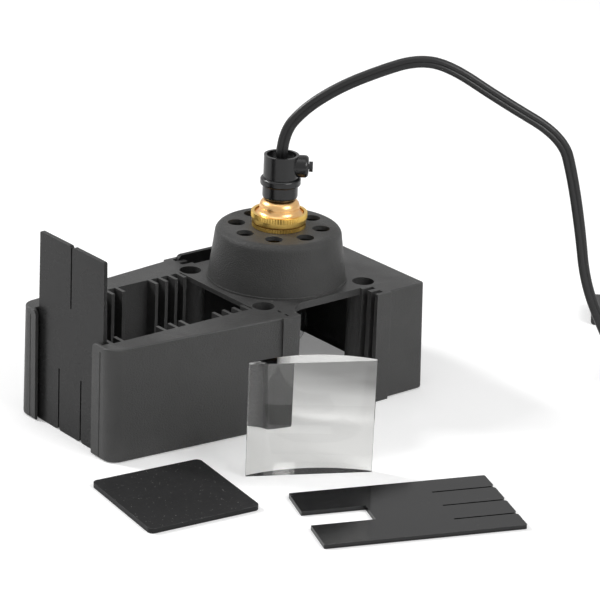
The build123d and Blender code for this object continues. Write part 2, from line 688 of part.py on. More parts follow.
with BuildPart() as terminal_screws:
    with BuildSketch(Plane.XY.offset(block_top_z)):
        with GridLocations(1.0, 2 * TERMINAL_Y, 1, 2):
            Circle(TERMINAL_R)
    extrude(amount=TERMINAL_HEIGHT)
    with BuildSketch(Plane.XY.offset(block_top_z - TERMINAL_SHANK)):
        with GridLocations(1.0, 2 * TERMINAL_Y, 1, 2):
            Circle(TERMINAL_SHANK_R)
    extrude(amount=TERMINAL_SHANK)
    with BuildSketch(Plane.XY.offset(block_top_z + TERMINAL_HEIGHT - TERMINAL_SLOT)):
        with GridLocations(1.0, 2 * TERMINAL_Y, 1, 2):
            Rectangle(2 * TERMINAL_R + 1.0, TERMINAL_SLOT)
    extrude(amount=1.0, mode=Mode.SUBTRACT)
terminal_screws.part.label = "terminal_screws"
export_step(terminal_screws.part, "parts/terminal_screws.step")

with BuildPart() as plunger_left:
    with BuildSketch(plan_plane(0.0, 0.0, BAYONET_TURN, plunger_tip_z)):
        with Locations((-CONTACT_PITCH / 2, 0.0)):
            Circle(PLUNGER_R)
    extrude(amount=head_z - plunger_tip_z)
    with BuildSketch(plan_plane(0.0, 0.0, BAYONET_TURN, head_z)):
        with Locations((-CONTACT_PITCH / 2, 0.0)):
            Circle(PLUNGER_HEAD_R)
    extrude(amount=PLUNGER_HEAD)
plunger_left.part.label = "plunger_left"
export_step(plunger_left.part, "parts/plunger_left.step")

with BuildPart() as plunger_right:
    with BuildSketch(plan_plane(0.0, 0.0, BAYONET_TURN, plunger_tip_z)):
        with Locations((CONTACT_PITCH / 2, 0.0)):
            Circle(PLUNGER_R)
    extrude(amount=head_z - plunger_tip_z)
    with BuildSketch(plan_plane(0.0, 0.0, BAYONET_TURN, head_z)):
        with Locations((CONTACT_PITCH / 2, 0.0)):
            Circle(PLUNGER_HEAD_R)
    extrude(amount=PLUNGER_HEAD)
plunger_right.part.label = "plunger_right"
export_step(plunger_right.part, "parts/plunger_right.step")

# each spring is a coil of wire between the plunger's head and the chamber's roof
coil_low_z = spring_z + SPRING_WIRE_R + 0.05
coil_rise = chamber_top_z - spring_z - 2 * SPRING_WIRE_R - 0.1
spring_x = CONTACT_PITCH / 2 * cos(radians(BAYONET_TURN))
spring_y = CONTACT_PITCH / 2 * sin(radians(BAYONET_TURN))

with BuildPart() as plunger_spring_left:
    with BuildLine() as wire_left:
        Helix(coil_rise / SPRING_TURNS, coil_rise, SPRING_R, center=(-spring_x, -spring_y, coil_low_z))
    with BuildSketch(Plane(origin=wire_left.line @ 0, z_dir=wire_left.line % 0)):
        Circle(SPRING_WIRE_R)
    sweep(path=wire_left.line, is_frenet=True)
plunger_spring_left.part.label = "plunger_spring_left"
export_step(plunger_spring_left.part, "parts/plunger_spring_left.step")

with BuildPart() as plunger_spring_right:
    with BuildLine() as wire_right:
        Helix(coil_rise / SPRING_TURNS, coil_rise, SPRING_R, center=(spring_x, spring_y, coil_low_z))
    with BuildSketch(Plane(origin=wire_right.line @ 0, z_dir=wire_right.line % 0)):
        Circle(SPRING_WIRE_R)
    sweep(path=wire_right.line, is_frenet=True)
plunger_spring_right.part.label = "plunger_spring_right"
export_step(plunger_spring_right.part, "parts/plunger_spring_right.step")

# ================================================================ cord grip
grip_z = cap_top_z + SEAT_GAP
grip_collar_z = grip_z + GRIP_BASE_HEIGHT
grip_seat_z = grip_collar_z + GRIP_COLLAR_HEIGHT
grip_top_z = dome_top_z + GRIP_RISE
recess_z = grip_top_z - GRIP_RECESS
jacket_end_z = dome_top_z + JACKET_END_RISE
clamp_direction = Vector(cos(radians(CLAMP_ANGLE)), sin(radians(CLAMP_ANGLE)), 0.0)
cord_hole_r = CORD_R + SEAT_GAP


def clamp_plane(distance):
    """Plane square to the clamping screw, at a distance from the lamp's axis."""
    origin = Vector(0.0, 0.0, dome_top_z + CLAMP_RISE) + clamp_direction * distance
    return Plane(origin=origin, x_dir=(0.0, 0.0, 1.0), z_dir=clamp_direction)


with BuildPart() as grip_base:
    with BuildSketch(Plane.XY.offset(grip_z)):
        Circle(GRIP_BASE_R)
    extrude(amount=GRIP_BASE_HEIGHT)
    fillet(grip_base.edges().group_by(Axis.Z)[0], GRIP_BASE_ROUND)
    with BuildSketch(Plane.XY.offset(grip_collar_z)):
        Circle(GRIP_COLLAR_R)
    extrude(amount=GRIP_COLLAR_HEIGHT)
    collar_rims = [e for e in grip_base.edges() if e.geom_type == GeomType.CIRCLE]
    fillet([e for e in collar_rims if abs(e.radius - GRIP_COLLAR_R) < 0.01], GRIP_COLLAR_ROUND)
    with BuildSketch(Plane.XY.offset(grip_z - 1.0)):
        Circle(NIPPLE_R + THREAD_FIT)
    extrude(amount=BOX_HEIGHT, mode=Mode.SUBTRACT)
    with BuildSketch(Plane.XY.offset(grip_seat_z - GRIP_SPIGOT - SEAT_GAP)):
        Circle(GRIP_SPIGOT_R + THREAD_FIT)
    extrude(amount=BOX_HEIGHT, mode=Mode.SUBTRACT)
grip_base.part.label = "grip_base"
export_step(grip_base.part, "parts/grip_base.step")

with BuildPart() as grip_body:
    with BuildSketch(clamp_plane(0.0)):
        Circle(CLAMP_BOSS_R)
    extrude(amount=CLAMP_BOSS_FACE)
    boss_rims = [e for e in grip_body.edges() if e.geom_type == GeomType.CIRCLE]
    fillet(sorted(boss_rims, key=lambda e: e.center().dot(clamp_direction))[-1], CLAMP_BOSS_ROUND)
    with BuildSketch(Plane.XY.offset(grip_seat_z)):
        Circle(GRIP_BODY_R)
    extrude(amount=grip_top_z - grip_seat_z)
    with BuildSketch(Plane.XY.offset(grip_seat_z - GRIP_SPIGOT)):
        Circle(GRIP_SPIGOT_R)
    extrude(amount=GRIP_SPIGOT)
    with BuildSketch(Plane.XY.offset(recess_z)):
        Circle(GRIP_BODY_R - GRIP_RIM)
    extrude(amount=GRIP_RECESS, mode=Mode.SUBTRACT)
    with BuildSketch(Plane.XY.offset(grip_seat_z - GRIP_SPIGOT)):
        Circle(GRIP_BORE_R)
    extrude(amount=recess_z - GRIP_FLOOR - grip_seat_z + GRIP_SPIGOT, mode=Mode.SUBTRACT)
    with BuildSketch(Plane.XY.offset(recess_z - GRIP_FLOOR)):
        Circle(cord_hole_r)
        with Locations((0.0, -TIE_HOLE_OFFSET)):
            Circle(TIE_HOLE_R)
    extrude(amount=GRIP_FLOOR, mode=Mode.SUBTRACT)
    with BuildSketch(clamp_plane(cord_hole_r)):
        Circle(SCREW_R + THREAD_FIT)
    extrude(amount=CLAMP_BOSS_FACE, mode=Mode.SUBTRACT)
grip_body.part.label = "grip_body"
export_step(grip_body.part, "parts/grip_body.step")

jaw_back = cord_hole_r + JAW_THICK
screw_seat = CLAMP_BOSS_FACE + SEAT_GAP / 2

with BuildPart() as grip_screw:
    with BuildSketch(clamp_plane(jaw_back + SEAT_GAP)):
        Circle(SCREW_R)
    extrude(amount=screw_seat - jaw_back - SEAT_GAP)
    with BuildSketch(clamp_plane(screw_seat)):
        Circle(SCREW_HEAD_R)
    extrude(amount=SCREW_HEAD)
    with BuildSketch(clamp_plane(screw_seat + SCREW_HEAD - SCREW_SLOT_DEPTH)):
        Rectangle(3 * SCREW_HEAD_R, SCREW_SLOT)
    extrude(amount=SCREW_HEAD, mode=Mode.SUBTRACT)
grip_screw.part.label = "grip_screw"
export_step(grip_screw.part, "parts/grip_screw.step")

jaw_top_z = recess_z - GRIP_FLOOR - SEAT_GAP

with BuildPart() as cord_clamp:
    with BuildSketch(plan_plane(0.0, 0.0, CLAMP_ANGLE, jaw_top_z - JAW_HEIGHT)):
        with Locations((cord_hole_r + JAW_THICK / 2, 0.0)):
            Rectangle(JAW_THICK, JAW_WIDTH)
    extrude(amount=JAW_HEIGHT)
cord_clamp.part.label = "cord_clamp"
export_step(cord_clamp.part, "parts/cord_clamp.step")

# the stripped end of the lead inside the grip, with a core down to each terminal
with BuildPart() as lead_inner:
    with BuildSketch(Plane.XY.offset(jacket_end_z)):
        Circle(CORD_R)
    extrude(amount=recess_z - jacket_end_z)
    for side in (-1, 1):
        rod(
            [
                (0.0, side * CORE_Y, jacket_end_z + 1.0),
                (0.0, side * CORE_Y, cap_top_z - 1.0),
                (0.0, side * TERMINAL_Y, waist_z - 2.0),
                (0.0, side * TERMINAL_Y, block_top_z + TERMINAL_HEIGHT + SEAT_GAP),
            ],
            CORE_R,
        )
lead_inner.part.label = "lead_inner"
export_step(lead_inner.part, "parts/lead_inner.step")

# ================================================================ lamp
pin_z = slot_floor_z + BAYONET_SLOT / 2
globe_z = dome_top_z - GLOBE_DROP
neck_top_z = dome_top_z - NECK_TOP_DROP
stem_waist_z = neck_top_z - STEM_WAIST
stem_tip_z = neck_top_z - STEM_LENGTH
lamp_cap_bottom_z = lamp_cap_top_z - LAMP_CAP_HEIGHT
blend_x = NECK_R + NECK_BLEND_R
blend_z = globe_z + sqrt((GLOBE_R + NECK_BLEND_R) ** 2 - blend_x**2)
blend_direction = Vector(blend_x, blend_z - globe_z, 0.0).normalized()
blend_mid = (Vector(-1.0, 0.0, 0.0) - blend_direction).normalized()


def glass_points(offset):
    """Joints and arc middles of the lamp's glass profile, offset inwards: globe, blend, neck."""
    globe = GLOBE_R - offset
    blend = NECK_BLEND_R + offset
    return (
        (0.0, globe_z - globe),
        (globe, globe_z),
        (blend_direction.X * globe, globe_z + blend_direction.Y * globe),
        (blend_x + blend_mid.X * blend, blend_z + blend_mid.Y * blend),
        (NECK_R - offset, blend_z),
        (NECK_R - offset, neck_top_z),
    )


outer_glass = glass_points(0.0)
inner_glass = glass_points(GLASS)

with BuildPart() as bulb_glass:
    with BuildSketch(Plane.XZ):
        with BuildLine():
            ThreePointArc(*outer_glass[0:3])
            ThreePointArc(*outer_glass[2:5])
            Line(*outer_glass[4:6])
            Line(outer_glass[5], inner_glass[5])
            Line(*inner_glass[4:6])
            ThreePointArc(*inner_glass[2:5])
            ThreePointArc(*inner_glass[0:3])
            Line(inner_glass[0], outer_glass[0])
        make_face()
    revolve(axis=Axis.Z)
bulb_glass.part.label = "bulb_glass"
export_step(bulb_glass.part, "parts/bulb_glass.step")

with BuildPart() as bulb_stem:
    with BuildSketch(Plane.XZ):
        with BuildLine():
            Polyline(
                (0.0, neck_top_z),
                (STEM_TOP_R, neck_top_z),
                (STEM_TOP_R, neck_top_z - STEM_FLARE),
                (STEM_TIP_R, stem_waist_z),
                (STEM_TIP_R, stem_tip_z),
                (0.0, stem_tip_z),
                close=True,
            )
        make_face()
    revolve(axis=Axis.Z)
bulb_stem.part.label = "bulb_stem"
export_step(bulb_stem.part, "parts/bulb_stem.step")

filament_top_z = globe_z + FILAMENT_SPAN / 2
filament_bottom_z = globe_z - FILAMENT_SPAN / 2

with BuildPart() as bulb_filament:
    with BuildSketch(Plane.XY.offset(filament_bottom_z)):
        Circle(FILAMENT_R)
    extrude(amount=FILAMENT_SPAN)
    rod(
        [
            (STEM_TIP_R / 2, 0.0, stem_tip_z - SEAT_GAP),
            (STEM_TIP_R / 2, 0.0, filament_top_z + 2.0),
            (0.0, 0.0, filament_top_z - SUPPORT_R),
        ],
        SUPPORT_R,
    )
    rod(
        [
            (-STEM_TIP_R / 2, 0.0, stem_tip_z - SEAT_GAP),
            (-SUPPORT_REACH, 0.0, filament_top_z + 2.0),
            (-SUPPORT_REACH, 0.0, filament_bottom_z + SUPPORT_R),
            (0.0, 0.0, filament_bottom_z + SUPPORT_R),
        ],
        SUPPORT_R,
    )
bulb_filament.part.label = "bulb_filament"
export_step(bulb_filament.part, "parts/bulb_filament.step")

with BuildPart() as bulb_cap:
    with BuildSketch(Plane.XY.offset(lamp_cap_bottom_z)):
        Circle(LAMP_CAP_R)
    extrude(amount=LAMP_CAP_HEIGHT)
    for side in (0.0, 180.0):
        pin_angle = radians(BAYONET_TURN + side)
        pin_direction = Vector(cos(pin_angle), sin(pin_angle), 0.0)
        pin_root = Vector(0.0, 0.0, pin_z) + pin_direction * (LAMP_CAP_R - LAMP_CAP_WALL / 2)
        with BuildSketch(Plane(origin=pin_root, z_dir=pin_direction)):
            Circle(LAMP_PIN_R)
        extrude(amount=LAMP_PIN_REACH - LAMP_CAP_R + LAMP_CAP_WALL / 2)
    with BuildSketch(Plane.XY.offset(lamp_cap_bottom_z)):
        Circle(LAMP_CAP_R - LAMP_CAP_WALL)
    extrude(amount=LAMP_CAP_HEIGHT - LAMP_CAP_WALL, mode=Mode.SUBTRACT)
    with BuildSketch(Plane.XY.offset(lamp_cap_top_z - 2 * LAMP_CAP_WALL)):
        Circle(INSULATOR_R + SEAT_GAP)
    extrude(amount=3 * LAMP_CAP_WALL, mode=Mode.SUBTRACT)
bulb_cap.part.label = "bulb_cap"
export_step(bulb_cap.part, "parts/bulb_cap.step")

with BuildPart() as bulb_insulator:
    with BuildSketch(Plane.XY.offset(lamp_cap_top_z - INSULATOR_SINK)):
        Circle(INSULATOR_R)
    extrude(amount=INSULATOR_SINK + INSULATOR_RISE)
bulb_insulator.part.label = "bulb_insulator"
export_step(bulb_insulator.part, "parts/bulb_insulator.step")

with BuildPart() as bulb_contacts:
    with BuildSketch(plan_plane(0.0, 0.0, BAYONET_TURN, insulator_top_z)):
        with GridLocations(CONTACT_PITCH, 1.0, 2, 1):
            Circle(CONTACT_R)
    extrude(amount=CONTACT_RISE)
bulb_contacts.part.label = "bulb_contacts"
export_step(bulb_contacts.part, "parts/bulb_contacts.step")

# ================================================================ plates and lens
pair_cut = slit_cut(PAIR_SLIT)
single_cut = slit_cut(SINGLE_SLIT)
triple_cut = slit_cut(TRIPLE_SLIT)
plate_x = plate_slot_back_x - SEAT_GAP - SLIT_PLATE_THICK
plate_side_angle = 90.0 - degrees(atan2(PLATE_TAPER, SLIT_PLATE_LENGTH))

with BuildPart() as slit_plate:
    with BuildSketch(Plane.YZ.offset(plate_x)) as tapered:
        Trapezoid(SLIT_PLATE_WIDTH, SLIT_PLATE_LENGTH, plate_side_angle, align=(Align.CENTER, Align.MIN))
        fillet(tapered.vertices(), PLATE_CORNER_R)
        with Locations((-PAIR_HALF_PITCH, 0.0), (PAIR_HALF_PITCH, 0.0)):
            add(pair_cut, mode=Mode.SUBTRACT)
        with Locations(Location((0.0, SLIT_PLATE_LENGTH, 0.0), (0.0, 0.0, 180.0))):
            add(single_cut, mode=Mode.SUBTRACT)
    extrude(amount=SLIT_PLATE_THICK)
slit_plate.part.label = "slit_plate"
export_step(slit_plate.part, "parts/slit_plate.step")

with BuildPart() as notched_slit_plate:
    with BuildSketch(plan_plane(*LYING_CENTRE, LYING_ANGLE)):
        RectangleRounded(SLIT_PLATE_LENGTH, SLIT_PLATE_WIDTH, PLATE_CORNER_R)
        with Locations((NOTCH_DEPTH / 2 - SLIT_PLATE_LENGTH / 2 - 1.0, 0.0)):
            Rectangle(NOTCH_DEPTH + 2.0, NOTCH_WIDTH, mode=Mode.SUBTRACT)
        for i in (-1, 0, 1):
            mouth = (SLIT_PLATE_LENGTH / 2, i * TRIPLE_PITCH, 0.0)
            with Locations(Location(mouth, (0.0, 0.0, 90.0))):
                add(triple_cut, mode=Mode.SUBTRACT)
    extrude(amount=SLIT_PLATE_THICK)
notched_slit_plate.part.label = "notched_slit_plate"
export_step(notched_slit_plate.part, "parts/notched_slit_plate.step")

fitted_y = OUTER_GROOVE_Y + OUTER_GROOVE / 2

with BuildPart() as blanking_plate_fitted:
    with BuildSketch(Plane.XZ.offset(-fitted_y - SQUARE_THICK / 2)):
        with Locations((0.0, GROOVE_FLOOR + SQUARE / 2)):
            RectangleRounded(SQUARE, SQUARE, SQUARE_CORNER_R)
    extrude(amount=SQUARE_THICK)
blanking_plate_fitted.part.label = "blanking_plate_fitted"
export_step(blanking_plate_fitted.part, "parts/blanking_plate_fitted.step")

with BuildPart() as blanking_plate_loose:
    with BuildSketch(plan_plane(*LOOSE_CENTRE, LOOSE_ANGLE)):
        RectangleRounded(SQUARE, SQUARE, SQUARE_CORNER_R)
    extrude(amount=SQUARE_THICK)
blanking_plate_loose.part.label = "blanking_plate_loose"
export_step(blanking_plate_loose.part, "parts/blanking_plate_loose.step")

lens_half = LENS_WIDTH / 2

with BuildPart() as cylindrical_lens:
    with BuildSketch(plan_plane(*LENS_CENTRE, LENS_ANGLE)):
        with BuildLine():
            Line((lens_half, LENS_EDGE), (lens_half, 0.0))
            Line((lens_half, 0.0), (-lens_half, 0.0))
            Line((-lens_half, 0.0), (-lens_half, LENS_EDGE))
            ThreePointArc((-lens_half, LENS_EDGE), (0.0, LENS_EDGE + LENS_RISE), (lens_half, LENS_EDGE))
        make_face()
    extrude(amount=LENS_HEIGHT)
cylindrical_lens.part.label = "cylindrical_lens"
export_step(cylindrical_lens.part, "parts/cylindrical_lens.step")

# ================================================================ lead, coil and plug
table_run_z = LEAD_ROUTE[-1][2]
route_rise = (recess_z - table_run_z) / (LEAD_ROUTE[0][2] - table_run_z)
route = [Vector(x, y, table_run_z + (z - table_run_z) * route_rise) for x, y, z in LEAD_ROUTE]
bend_radii = []
for before, corner, after in zip(route, route[1:], route[2:]):
    run_in = corner - before
    run_out = after - corner
    half_turn = radians(run_in.get_angle(run_out)) / 2
    bend_radii.append(RUN_SHARE * min(run_in.length, run_out.length) / tan(half_turn))

with BuildPart() as lead:
    with BuildLine() as lead_line:
        FilletPolyline(*route, radius=bend_radii)
    with BuildSketch(Plane(origin=route[0], z_dir=route[1] - route[0])):
        Circle(CORD_R)
    sweep(path=lead_line.wire())
lead.part.label = "lead"
export_step(lead.part, "parts/lead.step")

coil_heading = (route[-1] - route[-2]).normalized()
coil_side = coil_heading.cross(Vector(0.0, 0.0, 1.0))
coil_entry = route[-1] + coil_heading * (2 * CORD_R)
coil_centre = coil_entry + coil_side * COIL_R
layer_drop = CORD_PITCH
quarters = 4 * COIL_TURNS
reversal = quarters // 2

coil_stops = []
for k in range(quarters + 1):
    radius = COIL_R - CORD_PITCH * min(k, quarters - k) / 4
    swept = radians(90.0 * k)
    outward = coil_side * -cos(swept) + coil_heading * sin(swept)
    forward = coil_heading * cos(swept) + coil_side * sin(swept)
    drift = 0.0
    if 0 < k < quarters:
        drift = CORD_PITCH / (2 * pi) * ((k > reversal) - (k < reversal))
    u = min(max((k - reversal + 1) / 2, 0.0), 1.0)
    drop = layer_drop * u * u * (3 - 2 * u)
    sink = layer_drop * 6 * u * (1 - u) / pi
    stop = coil_centre + outward * radius - Vector(0.0, 0.0, drop)
    heading = (forward * radius + outward * drift - Vector(0.0, 0.0, sink)).normalized()
    coil_stops.append((stop, heading))

tail_start, tail_heading = coil_stops[-1]
tail_end = tail_start + coil_heading * TAIL_LENGTH - coil_side * TAIL_BEND
tail_end = Vector(tail_end.X, tail_end.Y, PLUG_THICK / 2)
cord_end = tail_end + coil_heading * (2 * CORD_R)

with BuildPart() as lead_coil:
    with BuildLine() as coil_line:
        Line(route[-1], coil_entry)
        for (stop, heading), (next_stop, next_heading) in zip(coil_stops, coil_stops[1:]):
            biarc(stop, heading, next_stop, next_heading)
        biarc(tail_start, tail_heading, tail_end, coil_heading)
        Line(tail_end, cord_end)
    with BuildSketch(Plane(origin=route[-1], z_dir=coil_heading)):
        Circle(CORD_R)
    sweep(path=coil_line.wire())
lead_coil.part.label = "lead_coil"
export_step(lead_coil.part, "parts/lead_coil.step")

plug_nose_plane = Plane(origin=tail_end, x_dir=coil_side, z_dir=coil_heading)
plug_back_plane = plug_nose_plane.offset(PLUG_NOSE)
plug_face_plane = plug_nose_plane.offset(PLUG_NOSE + PLUG_LENGTH)

with BuildPart() as plug_body:
    with BuildSketch(plug_back_plane):
        RectangleRounded(PLUG_WIDTH, PLUG_THICK, PLUG_ROUND)
    extrude(amount=PLUG_LENGTH)
    with BuildSketch(plug_nose_plane):
        Circle(PLUG_NOSE_R)
    extrude(amount=PLUG_NOSE)
    with BuildSketch(plug_nose_plane):
        Circle(cord_hole_r)
    extrude(amount=2 * CORD_R + SEAT_GAP, mode=Mode.SUBTRACT)
plug_body.part.label = "plug_body"
export_step(plug_body.part, "parts/plug_body.step")

with BuildPart() as plug_pins:
    with BuildSketch(plug_face_plane):
        with GridLocations(PLUG_PIN_PITCH, 1.0, 2, 1):
            Circle(PLUG_PIN_R)
    extrude(amount=PLUG_PIN_LENGTH)
    tips = [e for e in plug_pins.edges() if (e.center() - cord_end).dot(coil_heading) > PLUG_LENGTH + 8.0]
    fillet(tips, PIN_TIP_ROUND)
plug_pins.part.label = "plug_pins"
export_step(plug_pins.part, "parts/plug_pins.step")

# ================================================================ figures for the lead
lead_length = lead_line.wire().length
coil_length = coil_line.wire().length
samples = [coil_line.wire() @ (i / 900) for i in range(901)]
apart = int(900 * 30.0 / coil_length)
least = min(
    (samples[i] - samples[j]).length
    for i in range(len(samples))
    for j in range(i + apart, len(samples))
)
print("lead bend radii", [round(r, 1) for r in bend_radii])
print("lead length", round(lead_length, 1), "volume", round(lead.part.volume))
print("lead section x length", round(pi * CORD_R**2 * lead_length))
print("coil length", round(coil_length, 1), "volume", round(lead_coil.part.volume))
print("coil section x length", round(pi * CORD_R**2 * coil_length))
print("coil least gap to itself", round(least - 2 * CORD_R, 2))
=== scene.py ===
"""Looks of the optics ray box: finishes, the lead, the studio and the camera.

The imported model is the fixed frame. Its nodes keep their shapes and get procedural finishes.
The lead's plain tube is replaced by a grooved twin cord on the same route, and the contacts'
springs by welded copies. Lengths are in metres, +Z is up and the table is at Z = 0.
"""

import logging
import math
from dataclasses import dataclass, field
from enum import Enum

import bmesh
import bpy
from mathutils import Matrix, Quaternion, Vector


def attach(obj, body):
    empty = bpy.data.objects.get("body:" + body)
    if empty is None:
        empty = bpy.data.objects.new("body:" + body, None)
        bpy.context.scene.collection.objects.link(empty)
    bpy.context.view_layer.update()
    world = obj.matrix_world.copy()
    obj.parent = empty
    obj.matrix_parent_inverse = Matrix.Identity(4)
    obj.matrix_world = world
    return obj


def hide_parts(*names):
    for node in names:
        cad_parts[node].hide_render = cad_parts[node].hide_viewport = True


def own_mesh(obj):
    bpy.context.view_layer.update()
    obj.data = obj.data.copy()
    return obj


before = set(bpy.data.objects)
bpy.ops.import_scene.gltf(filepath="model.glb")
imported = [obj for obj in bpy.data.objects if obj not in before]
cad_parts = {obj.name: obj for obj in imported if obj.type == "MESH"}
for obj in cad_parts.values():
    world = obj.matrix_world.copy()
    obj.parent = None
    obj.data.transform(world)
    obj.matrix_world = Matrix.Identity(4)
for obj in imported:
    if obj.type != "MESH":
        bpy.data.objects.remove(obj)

log = logging.getLogger("ray_box")
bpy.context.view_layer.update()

Colour = tuple[float, float, float]
# Colour of the dust layer, which is also painted top light on faces that look up.
DUST_FILM_AND_TOP_LIGHT: Colour = (0.45, 0.44, 0.42)
MOULDING_SPECK: Colour = (0.5, 0.49, 0.46)
SHEET_SPECK: Colour = (0.5, 0.49, 0.47)
SHEATH_SPECK: Colour = (0.4, 0.4, 0.38)
# Colour of cut sheet edges, which also carries a painted edge highlight.
SAWN_EDGE_AND_HIGHLIGHT: Colour = (0.14, 0.14, 0.138)
WHITE = (1.0, 1.0, 1.0, 1.0)


# ------------------------------------------------------------------ shader wiring
class Wiring:
    """Places and joins the nodes of one material or node group."""

    COLUMNS = 9
    ACROSS = 180
    DOWN = 240

    def __init__(self, tree: bpy.types.NodeTree) -> None:
        """Empties the tree.

        Args:
            tree: The node tree that is filled.
        """
        self.tree = tree
        self.tree.nodes.clear()
        self.placed = 0

    def add(
        self,
        kind: str,
        inputs: dict[str | int, object] | None = None,
        **settings: object,
    ) -> bpy.types.Node:
        """Adds a node.

        Args:
            kind: Blender's type name of the node, without the ShaderNode prefix.
            inputs: Values or source sockets for the node's inputs, by name or number.
            settings: Properties of the node.

        Returns:
            The new node.
        """
        full = kind if kind.startswith("Node") else "ShaderNode" + kind
        node = self.tree.nodes.new(full)
        column = self.placed % self.COLUMNS
        row = self.placed // self.COLUMNS
        node.location = (self.ACROSS * column, -self.DOWN * row)
        self.placed += 1
        for name, value in settings.items():
            setattr(node, name, value)
        for name, value in (inputs or {}).items():
            if isinstance(value, bpy.types.NodeSocket):
                self.tree.links.new(value, node.inputs[name])
            else:
                node.inputs[name].default_value = value
        return node

    def math(self, operation: str, first: object, second: object = 0.0) -> bpy.types.NodeSocket:
        """Adds a math node and returns its result socket."""
        return self.add("Math", {0: first, 1: second}, operation=operation).outputs[0]

    def ramp(
        self, value: bpy.types.NodeSocket, low: float, high: float, start: float = 0.0, end: float = 1.0
    ) -> bpy.types.NodeSocket:
        """Maps a value from one range to another, clamped.

        Args:
            value: The socket that is mapped.
            low: Value that gives start.
            high: Value that gives end.
            start: Result at low.
            end: Result at high.

        Returns:
            The result socket.
        """
        inputs = {"Value": value, "From Min": low, "From Max": high, "To Min": start, "To Max": end}
        return self.add("MapRange", inputs, clamp=True).outputs["Result"]

    def blend(self, share: object, first: object, second: Colour) -> bpy.types.NodeSocket:
        """Mixes a second colour into a first one.

        Args:
            share: Share of the second colour, as a number or a socket.
            first: The first colour, or the socket that gives it.
            second: The second colour.

        Returns:
            The result socket.
        """
        base = first if isinstance(first, bpy.types.NodeSocket) else (*first, 1.0)
        inputs = {0: share, 6: base, 7: (*second, 1.0)}
        return self.add("Mix", inputs, data_type="RGBA").outputs[2]


def new_group(
    name: str, inputs: dict[str, float | None], outputs: list[str]
) -> tuple[bpy.types.NodeTree, Wiring]:
    """Starts a shader node group with named sockets.

    Args:
        name: Name of the group.
        inputs: Defaults by input name. None makes a vector input.
        outputs: Names of the float outputs.

    Returns:
        The group, and the wiring that fills it.
    """
    group = bpy.data.node_groups.new(name, "ShaderNodeTree")
    for label, value in inputs.items():
        kind = "NodeSocketVector" if value is None else "NodeSocketFloat"
        socket = group.interface.new_socket(label, in_out="INPUT", socket_type=kind)
        if value is not None:
            socket.default_value = value
    for label in outputs:
        group.interface.new_socket(label, in_out="OUTPUT", socket_type="NodeSocketFloat")
    return group, Wiring(group)


